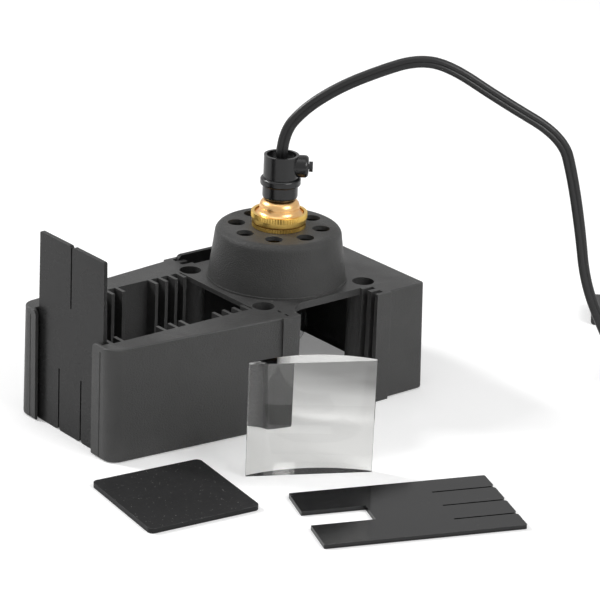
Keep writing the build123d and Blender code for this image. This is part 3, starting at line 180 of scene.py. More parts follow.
class Effects:
    """Shader node groups that several finishes share, each built once."""

    def __init__(self) -> None:
        """Builds every group."""
        self.finished: dict[str, bpy.types.Material] = {}
        self.grain = self._grain()
        self.dust = self._dust_and_top_light()
        self.smudge = self._smudge()
        self.wear_and_highlight = self._wear_and_highlight()
        self.lathe = self._lathe()

    def _grain(self) -> bpy.types.NodeTree:
        """Fine spark-eroded grain of a mould, with a slow unevenness under it.

        Returns:
            The group.
        """
        group, wire = new_group("mould grain", {"Vector": None, "Fineness": 1.0}, ["Height", "Patch"])
        source = wire.add("NodeGroupInput")
        fine = wire.add(
            "TexNoise",
            {
                "Vector": source.outputs["Vector"],
                "Scale": wire.math("MULTIPLY", source.outputs["Fineness"], 2600.0),
                "Detail": 2.0,
                "Roughness": 0.6,
            },
        )
        slow = wire.add(
            "TexNoise",
            {"Vector": source.outputs["Vector"], "Scale": 55.0, "Detail": 3.0, "Roughness": 0.55},
        )
        wire.add(
            "NodeGroupOutput",
            {
                "Height": wire.ramp(fine.outputs["Fac"], 0.3, 0.72),
                "Patch": wire.ramp(slow.outputs["Fac"], 0.3, 0.7),
            },
        )
        return group

    def _dust_and_top_light(self) -> bpy.types.NodeTree:
        """Pale specks and a thin dust layer, more on faces that look up. The dust layer is also painted top
        light: it lightens faces that look up.

        Returns:
            The group.
        """
        group, wire = new_group("settled dust and painted top light", {"Vector": None, "Density": 1.0}, ["Specks", "Dust layer and top light"])
        source = wire.add("NodeGroupInput")
        cells = wire.add(
            "TexVoronoi",
            {"Vector": source.outputs["Vector"], "Scale": 950.0, "Randomness": 1.0},
        )
        size = wire.add("TexNoise", {"Vector": source.outputs["Vector"], "Scale": 420.0, "Detail": 2.0})
        reach = wire.math(
            "MULTIPLY", source.outputs["Density"], wire.ramp(size.outputs["Fac"], 0.5, 0.76, 0.0, 0.3)
        )
        specks = wire.math("LESS_THAN", cells.outputs["Distance"], reach)
        film_and_top_light = wire.add(
            "TexNoise",
            {"Vector": source.outputs["Vector"], "Scale": 28.0, "Detail": 5.0, "Roughness": 0.65},
        )
        normal = wire.add("NewGeometry").outputs["Normal"]
        # Faces that look up get more of the dust layer, which paints them lighter as top light would.
        upward_dust_and_light = wire.ramp(wire.add("SeparateXYZ", {0: normal}).outputs["Z"], 0.2, 0.95, 0.12, 1.0)
        wire.add(
            "NodeGroupOutput",
            {
                "Specks": wire.math("MULTIPLY", specks, upward_dust_and_light),
                "Dust layer and top light": wire.math("MULTIPLY", wire.ramp(film_and_top_light.outputs["Fac"], 0.42, 0.8), upward_dust_and_light),
            },
        )
        return group

    def _smudge(self) -> bpy.types.NodeTree:
        """Handling marks: soft blotches crossed by faint wiping lines.

        Returns:
            The group.
        """
        group, wire = new_group("handling marks", {"Vector": None, "Scale": 1.0}, ["Blotch", "Hairlines"])
        source = wire.add("NodeGroupInput")
        blotch = wire.add(
            "TexNoise",
            {
                "Vector": source.outputs["Vector"],
                "Scale": wire.math("MULTIPLY", source.outputs["Scale"], 38.0),
                "Detail": 4.0,
                "Distortion": 1.2,
            },
        )
        squeezed = wire.add(
            "Mapping",
            {"Vector": source.outputs["Vector"], "Rotation": (0.3, 0.2, 0.9), "Scale": (30.0, 900.0, 900.0)},
        )
        lines = wire.add("TexNoise", {"Vector": squeezed.outputs[0], "Scale": 1.0, "Detail": 2.0})
        wire.add(
            "NodeGroupOutput",
            {
                "Blotch": wire.ramp(blotch.outputs["Fac"], 0.35, 0.7),
                "Hairlines": wire.ramp(lines.outputs["Fac"], 0.62, 0.78),
            },
        )
        return group

    def _wear_and_highlight(self) -> bpy.types.NodeTree:
        """Edges made brighter, partly by scuffing and partly as a painted edge highlight, found by comparing
        a rounded normal with the face's own.

        Returns:
            The group.
        """
        group, wire = new_group("scuffed and highlit edges", {"Vector": None, "Width": 0.0006}, ["Edge"])
        source = wire.add("NodeGroupInput")
        rounded = wire.add("Bevel", {"Radius": source.outputs["Width"]}, samples=6)
        normal = wire.add("NewGeometry").outputs["Normal"]
        facing = wire.add(
            "VectorMath", {0: rounded.outputs["Normal"], 1: normal}, operation="DOT_PRODUCT"
        )
        edge = wire.ramp(facing.outputs["Value"], 0.985, 0.86)
        broken = wire.add(
            "TexNoise", {"Vector": source.outputs["Vector"], "Scale": 240.0, "Detail": 3.0}
        )
        wire.add(
            "NodeGroupOutput",
            {"Edge": wire.math("MULTIPLY", edge, wire.ramp(broken.outputs["Fac"], 0.35, 0.62, 0.15, 1.0))},
        )
        return group

    def _lathe(self) -> bpy.types.NodeTree:
        """Turning marks: fine rings about the lamp's axis, with faint tarnish.

        Returns:
            The group.
        """
        group, wire = new_group("turning marks", {"Vector": None}, ["Rings", "Tarnish"])
        source = wire.add("NodeGroupInput")
        axes = wire.add("SeparateXYZ", {0: source.outputs["Vector"]})
        reach = wire.math(
            "SQRT",
            wire.math(
                "ADD",
                wire.math("MULTIPLY", axes.outputs["X"], axes.outputs["X"]),
                wire.math("MULTIPLY", axes.outputs["Y"], axes.outputs["Y"]),
            ),
        )
        flat = wire.add("CombineXYZ", {"X": reach, "Y": axes.outputs["Z"], "Z": 0.0})
        rings = wire.add("TexNoise", {"Vector": flat.outputs[0], "Scale": 5200.0, "Detail": 2.0})
        tarnish = wire.add(
            "TexNoise",
            {"Vector": source.outputs["Vector"], "Scale": 260.0, "Detail": 4.0, "Roughness": 0.6},
        )
        wire.add(
            "NodeGroupOutput",
            {
                "Rings": wire.ramp(rings.outputs["Fac"], 0.3, 0.7),
                "Tarnish": wire.ramp(tarnish.outputs["Fac"], 0.48, 0.75),
            },
        )
        return group


class Finish:
    """A finish that is built as one material the first time it is asked for."""

    name: str

    def material(self, effects: Effects) -> bpy.types.Material:
        """Returns the finish's material.

        Args:
            effects: The shared shader groups.

        Returns:
            The material, built on the first call.
        """
        if self.name in effects.finished:
            return effects.finished[self.name]
        made = bpy.data.materials.new(self.name)
        made.use_nodes = True
        wire = Wiring(made.node_tree)
        place = wire.add("TexCoord").outputs["Object"]
        shader = self.shade(wire, place, effects)
        wire.add("OutputMaterial", {"Surface": shader.outputs[0]})
        effects.finished[self.name] = made
        return made

    def shade(self, wire: Wiring, place: bpy.types.NodeSocket, effects: Effects) -> bpy.types.Node:
        """Builds the shader.

        Args:
            wire: Wiring of the material's tree.
            place: Socket of the object's own coordinates.
            effects: The shared shader groups.

        Returns:
            The shader's node.
        """
        raise NotImplementedError


def use(wire: Wiring, group: bpy.types.NodeTree, inputs: dict[str, object]) -> bpy.types.Node:
    """Places a shared group in a material with its own values and returns the node."""
    return wire.add("Group", inputs, node_tree=group)


@dataclass(frozen=True)
class Moulding(Finish):
    """Injection-moulded plastic with a fine grain, a little dust, and edges lightened by scuffing and by a
    painted edge highlight. Its dust layer also lightens faces that look up as painted top light.

    Attributes:
        name: Name of the material.
        colour: Colour of the plastic.
        rubbed_and_highlit: Colour of the edges, scuffed and carrying a painted edge highlight.
        rough: Roughness between grains.
        grain: Depth of the grain, in metres.
        fineness: Scale of the grain against the box's.
        dust: Share of dust, and of the painted top light that its dust layer lays on faces that look up.
        specular: Strength of the plain gloss.
    """

    name: str
    colour: Colour = (0.028, 0.028, 0.028)
    rubbed_and_highlit: Colour = (0.11, 0.11, 0.108)
    rough: float = 0.42
    grain: float = 0.00009
    fineness: float = 1.0
    dust: float = 0.5
    specular: float = 0.5

    def shade(self, wire: Wiring, place: bpy.types.NodeSocket, effects: Effects) -> bpy.types.Node:
        """Builds the plastic's shader.

        Args:
            wire: Wiring of the material's tree.
            place: Socket of the object's own coordinates.
            effects: The shared shader groups.

        Returns:
            The shader's node.
        """
        grain = use(wire, effects.grain, {"Vector": place, "Fineness": self.fineness})
        dust = use(wire, effects.dust, {"Vector": place, "Density": self.dust})
        marks = use(wire, effects.smudge, {"Vector": place})
        edge = use(wire, effects.wear_and_highlight, {"Vector": place})
        uneven = wire.blend(
            wire.math("MULTIPLY", grain.outputs["Patch"], 0.4),
            self.colour,
            tuple(c * 1.35 for c in self.colour),
        )
        # Dust layer and painted top light: faces that look up are lightened.
        film_and_top_light = wire.math("MULTIPLY", dust.outputs["Dust layer and top light"], 0.05 * self.dust)
        filmed_and_top_lit = wire.blend(film_and_top_light, uneven, DUST_FILM_AND_TOP_LIGHT)
        # Edges lightened: scuffing and a painted edge highlight.
        worn_and_highlit = wire.blend(wire.math("MULTIPLY", edge.outputs["Edge"], 0.6), filmed_and_top_lit, self.rubbed_and_highlit)
        specked = wire.blend(wire.math("MULTIPLY", dust.outputs["Specks"], 0.45), worn_and_highlit, MOULDING_SPECK)
        smooth = wire.ramp(marks.outputs["Blotch"], 0.0, 1.0, self.rough - 0.05, self.rough + 0.06)
        bump = wire.add(
            "Bump", {"Strength": 0.55, "Distance": self.grain, "Height": grain.outputs["Height"]}
        )
        return wire.add(
            "BsdfPrincipled",
            {
                "Base Color": specked,
                "Roughness": wire.math("ADD", smooth, wire.math("MULTIPLY", dust.outputs["Dust layer and top light"], 0.1)),
                "Specular IOR Level": self.specular,
                "Normal": bump.outputs["Normal"],
            },
        )


@dataclass(frozen=True)
class PolishedSheet(Finish):
    """Cut plastic sheet: glossy or dull faces with hairlines, handling marks and dust.

    Attributes:
        name: Name of the material.
        colour: Colour of the sheet.
        rough: Roughness of its faces.
        dust: Share of dust.
        hairline: Strength of the wiping lines in the gloss.
        specular: Strength of the plain gloss.
    """

    name: str
    colour: Colour
    rough: float
    dust: float
    hairline: float
    specular: float = 0.5

    def shade(self, wire: Wiring, place: bpy.types.NodeSocket, effects: Effects) -> bpy.types.Node:
        """Builds the sheet's shader.

        Args:
            wire: Wiring of the material's tree.
            place: Socket of the object's own coordinates.
            effects: The shared shader groups.

        Returns:
            The shader's node.
        """
        dust = use(wire, effects.dust, {"Vector": place, "Density": self.dust})
        marks = use(wire, effects.smudge, {"Vector": place, "Scale": 1.3})
        grain = use(wire, effects.grain, {"Vector": place, "Fineness": 0.7})
        edge = use(wire, effects.wear_and_highlight, {"Vector": place, "Width": 0.0004})
        uneven = wire.blend(
            wire.math("MULTIPLY", grain.outputs["Patch"], 0.35),
            self.colour,
            tuple(c * 1.3 for c in self.colour),
        )
        # Cut edges lightened, partly as a painted edge highlight.
        sawn_and_highlit = wire.blend(wire.math("MULTIPLY", edge.outputs["Edge"], 0.55), uneven, SAWN_EDGE_AND_HIGHLIGHT)
        specked = wire.blend(wire.math("MULTIPLY", dust.outputs["Specks"], 0.5), sawn_and_highlit, SHEET_SPECK)
        dulled = wire.ramp(marks.outputs["Blotch"], 0.0, 1.0, self.rough, self.rough * 1.25 + 0.02)
        scratched = wire.math(
            "ADD", dulled, wire.math("MULTIPLY", marks.outputs["Hairlines"], self.hairline)
        )
        bump = wire.add(
            "Bump", {"Strength": 0.25, "Distance": 0.00003, "Height": grain.outputs["Height"]}
        )
        return wire.add(
            "BsdfPrincipled",
            {
                "Base Color": specked,
                "Roughness": scratched,
                "Specular IOR Level": self.specular,
                "Normal": bump.outputs["Normal"],
            },
        )


@dataclass(frozen=True)
class TurnedBrass(Finish):
    """Turned brass with rings from the lathe and light tarnish.

    Attributes:
        name: Name of the material.
        colour: Colour of clean metal.
        tarnish: Colour of the tarnished patches.
        rough: Roughness of clean metal.
        marks: Depth of the turning marks, in metres.
    """

    name: str
    colour: Colour
    tarnish: Colour
    rough: float = 0.24
    marks: float = 0.00002

    def shade(self, wire: Wiring, place: bpy.types.NodeSocket, effects: Effects) -> bpy.types.Node:
        """Builds the brass's shader.

        Args:
            wire: Wiring of the material's tree.
            place: Socket of the object's own coordinates.
            effects: The shared shader groups.

        Returns:
            The shader's node.
        """
        lathe = use(wire, effects.lathe, {"Vector": place})
        edge = use(wire, effects.wear_and_highlight, {"Vector": place, "Width": 0.0003})
        dulled = wire.blend(wire.math("MULTIPLY", lathe.outputs["Tarnish"], 0.3), self.colour, self.tarnish)
        # Edges lightened: rubbing of the brass and a painted edge highlight.
        bright = wire.blend(
            wire.math("MULTIPLY", edge.outputs["Edge"], 0.5),
            dulled,
            tuple(min(1.0, c * 1.12 + 0.04) for c in self.colour),
        )
        rough = wire.ramp(lathe.outputs["Tarnish"], 0.0, 1.0, self.rough, self.rough + 0.08)
        bump = wire.add(
            "Bump", {"Strength": 0.3, "Distance": self.marks, "Height": lathe.outputs["Rings"]}
        )
        return wire.add(
            "BsdfPrincipled",
            {
                "Base Color": bright,
                "Metallic": 1.0,
                "Roughness": rough,
                "Normal": bump.outputs["Normal"],
            },
        )


@dataclass(frozen=True)
class PlainMetal(Finish):
    """Wire, solder or plated metal with faint unevenness.

    Attributes:
        name: Name of the material.
        colour: Colour of the metal.
        rough: Roughness.
        metal: Metallic share, under 1 for a blackened surface.
    """

    name: str
    colour: Colour
    rough: float
    metal: float = 1.0

    def shade(self, wire: Wiring, place: bpy.types.NodeSocket, effects: Effects) -> bpy.types.Node:
        """Builds the metal's shader.

        Args:
            wire: Wiring of the material's tree.
            place: Socket of the object's own coordinates.
            effects: The shared shader groups.

        Returns:
            The shader's node.
        """
        marks = use(wire, effects.smudge, {"Vector": place, "Scale": 5.0})
        edge = use(wire, effects.wear_and_highlight, {"Vector": place, "Width": 0.0002})
        uneven = wire.blend(
            wire.math("MULTIPLY", marks.outputs["Blotch"], 0.3),
            self.colour,
            tuple(c * 0.7 for c in self.colour),
        )
        # Edges lightened: rubbing of the metal and a painted edge highlight.
        bright = wire.blend(
            wire.math("MULTIPLY", edge.outputs["Edge"], 0.5),
            uneven,
            tuple(min(1.0, c * 1.3 + 0.05) for c in self.colour),
        )
        return wire.add(
            "BsdfPrincipled",
            {
                "Base Color": bright,
                "Metallic": self.metal,
                "Roughness": wire.ramp(marks.outputs["Blotch"], 0.0, 1.0, self.rough, self.rough + 0.15),
            },
        )


@dataclass(frozen=True)
class ClearSolid(Finish):
    """Clear acrylic or glass with faint handling marks.

    Attributes:
        name: Name of the material.
        tint: Colour that the light takes on.
        ior: Index of refraction. The lens's is under acrylic's 1.49, to bend the view as photographed.
        rough: Roughness of a clean face.
        polish: Weight of the glossy coat over the faces.
    """

    name: str
    tint: Colour
    ior: float
    rough: float = 0.0
    polish: float = 0.0

    def shade(self, wire: Wiring, place: bpy.types.NodeSocket, effects: Effects) -> bpy.types.Node:
        """Builds the clear shader.

        Args:
            wire: Wiring of the material's tree.
            place: Socket of the object's own coordinates.
            effects: The shared shader groups.

        Returns:
            The shader's node.
        """
        marks = use(wire, effects.smudge, {"Vector": place, "Scale": 1.0})
        return wire.add(
            "BsdfPrincipled",
            {
                "Base Color": (*self.tint, 1.0),
                "Transmission Weight": 1.0,
                "IOR": self.ior,
                "Roughness": wire.ramp(marks.outputs["Hairlines"], 0.0, 1.0, self.rough, self.rough + 0.04),
                "Coat Weight": self.polish,
            },
        )


@dataclass(frozen=True)
class CordSheath(Finish):
    """Extruded sheath of the twin lead: satin, with faint drawing lines along it.

    Attributes:
        name: Name of the material.
        colour: Colour of the sheath.
        rough: Roughness.
    """

    name: str
    colour: Colour
    rough: float

    def shade(self, wire: Wiring, place: bpy.types.NodeSocket, effects: Effects) -> bpy.types.Node:
        """Builds the sheath's shader.

        Args:
            wire: Wiring of the material's tree.
            place: Socket of the object's own coordinates.
            effects: The shared shader groups.

        Returns:
            The shader's node.
        """
        dust = use(wire, effects.dust, {"Vector": place, "Density": 0.35})
        marks = use(wire, effects.smudge, {"Vector": place, "Scale": 3.0})
        along = wire.add("UVMap", uv_map="along").outputs["UV"]
        drawn = wire.add("Mapping", {"Vector": along, "Scale": (3.0, 26.0, 1.0)})
        lines = wire.add("TexNoise", {"Vector": drawn.outputs[0], "Scale": 1.0, "Detail": 3.0})
        uneven = wire.blend(
            wire.math("MULTIPLY", marks.outputs["Blotch"], 0.35),
            self.colour,
            tuple(c * 1.5 for c in self.colour),
        )
        specked = wire.blend(wire.math("MULTIPLY", dust.outputs["Specks"], 0.35), uneven, SHEATH_SPECK)
        bump = wire.add("Bump", {"Strength": 0.25, "Distance": 0.00004, "Height": lines.outputs["Fac"]})
        return wire.add(
            "BsdfPrincipled",
            {
                "Base Color": specked,
                "Roughness": wire.ramp(marks.outputs["Blotch"], 0.0, 1.0, self.rough, self.rough + 0.1),
                "Normal": bump.outputs["Normal"],
            },
        )


BOX_PLASTIC = Moulding(
    "Moulded box plastic",
    colour=(0.036, 0.036, 0.0356),
    rubbed_and_highlit=(0.13, 0.13, 0.127),
    rough=0.42,
    grain=0.00028,
    fineness=0.6,
    dust=0.8,
)
DOME_PLASTIC = Moulding(
    "Moulded dome plastic",
    colour=(0.05, 0.05, 0.0493),
    rubbed_and_highlit=(0.15, 0.15, 0.147),
    rough=0.42,
    grain=0.00032,
    fineness=0.5,
    dust=0.8,
    specular=0.15,
)
GRIP_PLASTIC = Moulding(
    "Smooth grip plastic",
    colour=(0.007, 0.007, 0.0075),
    rubbed_and_highlit=(0.06, 0.06, 0.06),
    rough=0.22,
    grain=0.00002,
    fineness=1.4,
    dust=0.25,
)
PLUG_PLASTIC = Moulding("Plug plastic", colour=(0.02, 0.02, 0.02), rough=0.38, grain=0.00005)
BLOCK_PLASTIC = Moulding(
    "Cream contact block", colour=(0.62, 0.55, 0.42), rubbed_and_highlit=(0.75, 0.7, 0.6), rough=0.4, grain=0.00003
)
CLAMP_FIBRE = Moulding(
    "Clamp fibre board", colour=(0.16, 0.09, 0.05), rubbed_and_highlit=(0.3, 0.2, 0.12), rough=0.6, grain=0.00006
)
CAP_INSULATOR = Moulding(
    "Lamp cap insulator",
    colour=(0.012, 0.012, 0.015),
    rubbed_and_highlit=(0.05, 0.05, 0.06),
    rough=0.15,
    grain=0.00001,
)
STANDING_SHEET = PolishedSheet(
    "Standing plate sheet", colour=(0.02, 0.02, 0.02), rough=0.24, dust=0.5, hairline=0.1, specular=0.2
)
LYING_SHEET = PolishedSheet(
    "Glossy plate sheet",
    colour=(0.007, 0.007, 0.0075),
    rough=0.07,
    dust=0.4,
    hairline=0.12,
    specular=0.42,
)
SQUARE_SHEET = PolishedSheet(
    "Square plate sheet",
    colour=(0.017, 0.017, 0.0175),
    rough=0.42,
    dust=1.1,
    hairline=0.12,
    specular=0.2,
)
RING_BRASS = TurnedBrass(
    "Ring brass", colour=(0.92, 0.62, 0.17), tarnish=(0.72, 0.43, 0.11), rough=0.3
)
CAP_BRASS = TurnedBrass(
    "Cap brass", colour=(0.9, 0.55, 0.24), tarnish=(0.74, 0.41, 0.15), rough=0.3, marks=0.00001
)
BARREL_BRASS = TurnedBrass(
    "Barrel brass", colour=(0.76, 0.54, 0.22), tarnish=(0.46, 0.3, 0.12), rough=0.3
)
TERMINAL_BRASS = TurnedBrass(
    "Terminal brass", colour=(0.76, 0.56, 0.25), tarnish=(0.5, 0.34, 0.14), rough=0.3
)
LAMP_CAP_BRASS = TurnedBrass(
    "Lamp cap brass", colour=(0.76, 0.6, 0.33), tarnish=(0.5, 0.37, 0.18), rough=0.28
)
SPRING_STEEL = PlainMetal("Spring steel", colour=(0.62, 0.62, 0.64), rough=0.28)
FILAMENT_WIRE = PlainMetal("Filament wire", colour=(0.4, 0.4, 0.42), rough=0.4)
SOLDER = PlainMetal("Contact solder", colour=(0.66, 0.66, 0.66), rough=0.42)
PLUG_NICKEL = PlainMetal("Plug pin plating", colour=(0.78, 0.75, 0.7), rough=0.18)
SCREW_BLACK = PlainMetal("Blackened screw", colour=(0.035, 0.035, 0.037), rough=0.34, metal=0.5)
LENS_ACRYLIC = ClearSolid("Lens acrylic", tint=(0.84, 0.84, 0.825), ior=1.3, polish=0.7)
LAMP_GLASS = ClearSolid("Lamp glass", tint=(0.98, 0.99, 0.99), ior=1.5)
LEAD_SHEATH = CordSheath("Lead sheath", colour=(0.007, 0.007, 0.0073), rough=0.36)


def dress(node: str, finish: Finish, effects: Effects) -> None:
    """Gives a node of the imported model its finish.

    Args:
        node: Name of the node.
        finish: The finish it gets.
        effects: The shared shader groups.
    """
    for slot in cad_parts[node].material_slots:
        slot.material = finish.material(effects)
    log.info("%s: %s", node, finish.name)


@dataclass
class SubAssembly:
    """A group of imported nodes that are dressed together.

    Attributes:
        finishes: Finish of each node.
    """

    finishes: dict[str, Finish] = field(default_factory=dict)

    def finish(self, effects: Effects) -> None:
        """Dresses each node with its own finish."""
        for node, look in self.finishes.items():
            dress(node, look, effects)


@dataclass
class LightBox(SubAssembly):
    """The moulded box and the vented dome over its lamp."""

    finishes: dict[str, Finish] = field(
        default_factory=lambda: {
            "body_shell": BOX_PLASTIC,
            "channel_ribs_near": BOX_PLASTIC,
            "channel_ribs_far": BOX_PLASTIC,
            "lamp_dome": DOME_PLASTIC,
        }
    )


@dataclass
class Lampholder(SubAssembly):
    """Brass barrel, rings and cap, and the insulator with its sprung contacts."""

    finishes: dict[str, Finish] = field(
        default_factory=lambda: {
            "holder_barrel": BARREL_BRASS,
            "shade_ring": RING_BRASS,
            "union_ring": RING_BRASS,
            "holder_cap": CAP_BRASS,
            "contact_block": BLOCK_PLASTIC,
            "terminal_screws": TERMINAL_BRASS,
            "plunger_left": TERMINAL_BRASS,
            "plunger_right": TERMINAL_BRASS,
        }
    )


@dataclass
class ContactSpring:
    """Spring over a sprung contact, copied from the imported coil.

    Attributes:
        node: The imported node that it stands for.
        joint: The contact's sliding joint. Not used.
        travel: How far the contact slides.
        weld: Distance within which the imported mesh's loose corners are joined.
    """

    node: str
    joint: str
    travel: float = 0.0015
    weld: float = 0.00001

    def build(self, effects: Effects) -> bpy.types.Object:
        """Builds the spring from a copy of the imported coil.

        Args:
            effects: The shared shader groups.

        Returns:
            The spring's object.
        """
        form = bmesh.new()
        form.from_mesh(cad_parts[self.node].data)
        bmesh.ops.remove_doubles(form, verts=form.verts, dist=self.weld)
        bmesh.ops.recalc_face_normals(form, faces=form.faces)
        mesh = bpy.data.meshes.new(self.node + "_coil")
        form.to_mesh(mesh)
        form.free()
        mesh.materials.append(SPRING_STEEL.material(effects))
        spring = bpy.data.objects.new(self.node + "_coil", mesh)
        bpy.context.scene.collection.objects.link(spring)
        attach(spring, "box")
        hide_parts(self.node)
        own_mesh(spring)
        log.info("%s: shortens by %.4f m", spring.name, self.travel)
        return spring


@dataclass
class CordGrip(SubAssembly):
    """Black grip that clamps the lead over the lampholder."""

    finishes: dict[str, Finish] = field(
        default_factory=lambda: {
            "grip_base": GRIP_PLASTIC,
            "grip_body": GRIP_PLASTIC,
            "grip_screw": SCREW_BLACK,
            "cord_clamp": CLAMP_FIBRE,
            "lead_inner": LEAD_SHEATH,
        }
    )


@dataclass
class Lamp(SubAssembly):
    """Clear lamp with a bayonet cap."""

    finishes: dict[str, Finish] = field(
        default_factory=lambda: {
            "bulb_glass": LAMP_GLASS,
            "bulb_stem": LAMP_GLASS,
            "bulb_filament": FILAMENT_WIRE,
            "bulb_cap": LAMP_CAP_BRASS,
            "bulb_insulator": CAP_INSULATOR,
            "bulb_contacts": SOLDER,
        }
    )


@dataclass
class PlatesAndLens(SubAssembly):
    """Slit plates, square blanking plates and the cylindrical lens."""

    finishes: dict[str, Finish] = field(
        default_factory=lambda: {
            "slit_plate": STANDING_SHEET,
            "notched_slit_plate": LYING_SHEET,
            "blanking_plate_fitted": SQUARE_SHEET,
            "blanking_plate_loose": SQUARE_SHEET,
            "cylindrical_lens": LENS_ACRYLIC,
        }
    )


# ------------------------------------------------------------------ lead
class CoilStage(Enum):
    """Which way the coil winds."""

    INWARD = -1
    OUTWARD = 1


@dataclass
class Lead(SubAssembly):
    """Twin lead from the cord grip to the put-away coil and its plug.

    Attributes:
        route: Points of the free stretch, from the grip's recess to the table.
        heading: Direction in which the lead enters and leaves the coil.
        coil_radius: Radius of the outermost turns.
        pitch: Distance from turn to turn and from layer to layer.
        turns: Turns in the coil, half of them in each layer.
        marks: Points of the spline in each turn.
        entry: Straight run into the coil and into the plug.
        tail: Run from the coil to the plug.
        tail_bend: How far the tail swings aside.
        plug_axis: Height of the plug's axis.
        core_radius: Radius of each of the two cores.
        core_offset: Distance of each core from the lead's middle.
        groove_half: Half the width of the groove between the cores.
        web_half: Half the thickness of the web under the groove.
        core_points: Points round each core in the section.
        length: Length of the whole lead. Not used.
        diameter: Width across both cores. Not used.
        fineness: Points of the line from one control point to the next.
        first_broad: Direction of the broad side in plan where the lead leaves the grip.
        spline_share: Length of the free stretch of the spline, as a share of the route's runs.
        twist_start: Where the cord starts to turn on edge, as a share of the free stretch.
        twist_run: Over how much of the free stretch it turns.
        tail_ease: Distance of the tail's inner points from its ends, as a share of the tail.
    """

    finishes: dict[str, Finish] = field(
        default_factory=lambda: {"plug_body": PLUG_PLASTIC, "plug_pins": PLUG_NICKEL}
    )
    route: tuple[tuple[float, float, float], ...] = (
        (0.0, 0.0, 0.1244),
        (0.0, 0.0, 0.1385),
        (0.0086, -0.0072, 0.1525),
        (0.0215, -0.018, 0.1644),
        (0.0358, -0.03, 0.1733),
        (0.0509, -0.0427, 0.1808),
        (0.064, -0.0537, 0.1787),
        (0.0855, -0.0717, 0.1613),
        (0.1107, -0.0929, 0.1432),
        (0.1158, -0.0972, 0.1214),
        (0.1205, -0.1011, 0.093),
        (0.124, -0.1041, 0.065),
        (0.1318, -0.1106, 0.041),
        (0.1415, -0.1145, 0.022),
        (0.1565, -0.1085, 0.0125),
        (0.1735, -0.094, 0.0098),
        (0.1885, -0.079, 0.0098),
    )
    heading: Vector = field(default_factory=lambda: Vector((1.0, 1.0, 0.0)).normalized())
    coil_radius: float = 0.0385
    pitch: float = 0.0067
    turns: int = 4
    marks: int = 12
    entry: float = 0.0062
    tail: float = 0.028
    tail_bend: float = 0.003
    plug_axis: float = 0.0045
    core_radius: float = 0.00195
    core_offset: float = 0.00115
    groove_half: float = 0.00028
    web_half: float = 0.0011
    core_points: int = 14
    length: float = 1.2
    diameter: float = 0.0062
    fineness: int = 14
    first_broad: float = math.radians(-40.0)
    spline_share: float = 0.93
    twist_start: float = 0.4
    twist_run: float = 0.55
    tail_ease: float = 0.35

    def coil_points(self) -> list[Vector]:
        """Control points of the coil, the tail and the run into the plug.

        Returns:
            The points that follow the route's last one.
        """
        side = self.heading.cross(Vector((0.0, 0.0, 1.0)))
        last = Vector(self.route[-1])
        start = last + self.heading * self.entry
        centre = start + side * self.coil_radius
        steps = self.turns * self.marks
        quarter = self.marks / 4
        spread = 1.0 / math.cos(math.pi / self.marks)
        points = []
        for step in range(steps + 1):
            swept = 2 * math.pi * step / self.marks
            stage = CoilStage.INWARD if step * 2 < steps else CoilStage.OUTWARD
            wound = step if stage is CoilStage.INWARD else steps - step
            radius = (self.coil_radius - self.pitch * wound / self.marks) * spread
            along = min(max((step - steps / 2 + quarter) / (2 * quarter), 0.0), 1.0)
            drop = self.pitch * along * along * (3 - 2 * along)
            outward = self.heading * math.sin(swept) - side * math.cos(swept)
            points.append(centre + outward * radius - Vector((0.0, 0.0, drop)))
        points[0] = start
        points[-1] = start - Vector((0.0, 0.0, self.pitch))
        leave = points[-1]
        nose = leave + self.heading * self.tail - side * self.tail_bend
        nose.z = self.plug_axis
        first = leave + self.heading * self.tail * self.tail_ease
        second = nose - self.heading * self.tail * self.tail_ease
        second.z = self.plug_axis
        return [*points, first, second, nose, nose + self.heading * self.entry]

    def spline_line(self) -> list[Vector]:
        """Smooth centreline of the lead, read from a spline through its control points.

        Returns:
            Points along the line, close together.
        """
        controls = [Vector(p) for p in self.route] + self.coil_points()
        curve = bpy.data.curves.new("lead_line", "CURVE")
        curve.dimensions = "3D"
        curve.resolution_u = self.fineness
        spline = curve.splines.new("NURBS")
        spline.points.add(len(controls) - 1)
        for place, point in zip(spline.points, controls):
            place.co = (*point, 1.0)
        spline.order_u = 3
        spline.use_endpoint_u = True
        thing = bpy.data.objects.new("lead_line", curve)
        bpy.context.scene.collection.objects.link(thing)
        traced = bpy.data.meshes.new_from_object(thing)
        line = [v.co.copy() for v in traced.vertices]
        bpy.data.objects.remove(thing)
        bpy.data.curves.remove(curve)
        bpy.data.meshes.remove(traced)
        return line

    def section(self) -> list[tuple[float, float]]:
        """Outline of the twin cord: two round cores with a groove along each broad side.

        Returns:
            Points round the outline, across the cores and through them.
        """
        reach = math.acos((self.groove_half - self.core_offset) / self.core_radius)
        right = []
        for i in range(self.core_points):
            turn = reach - 2 * reach * i / (self.core_points - 1)
            x = self.core_offset + self.core_radius * math.cos(turn)
            right.append((x, self.core_radius * math.sin(turn)))
        left = [(-x, -y) for x, y in right]
        return [*right, (0.0, -self.web_half), *left, (0.0, self.web_half)]

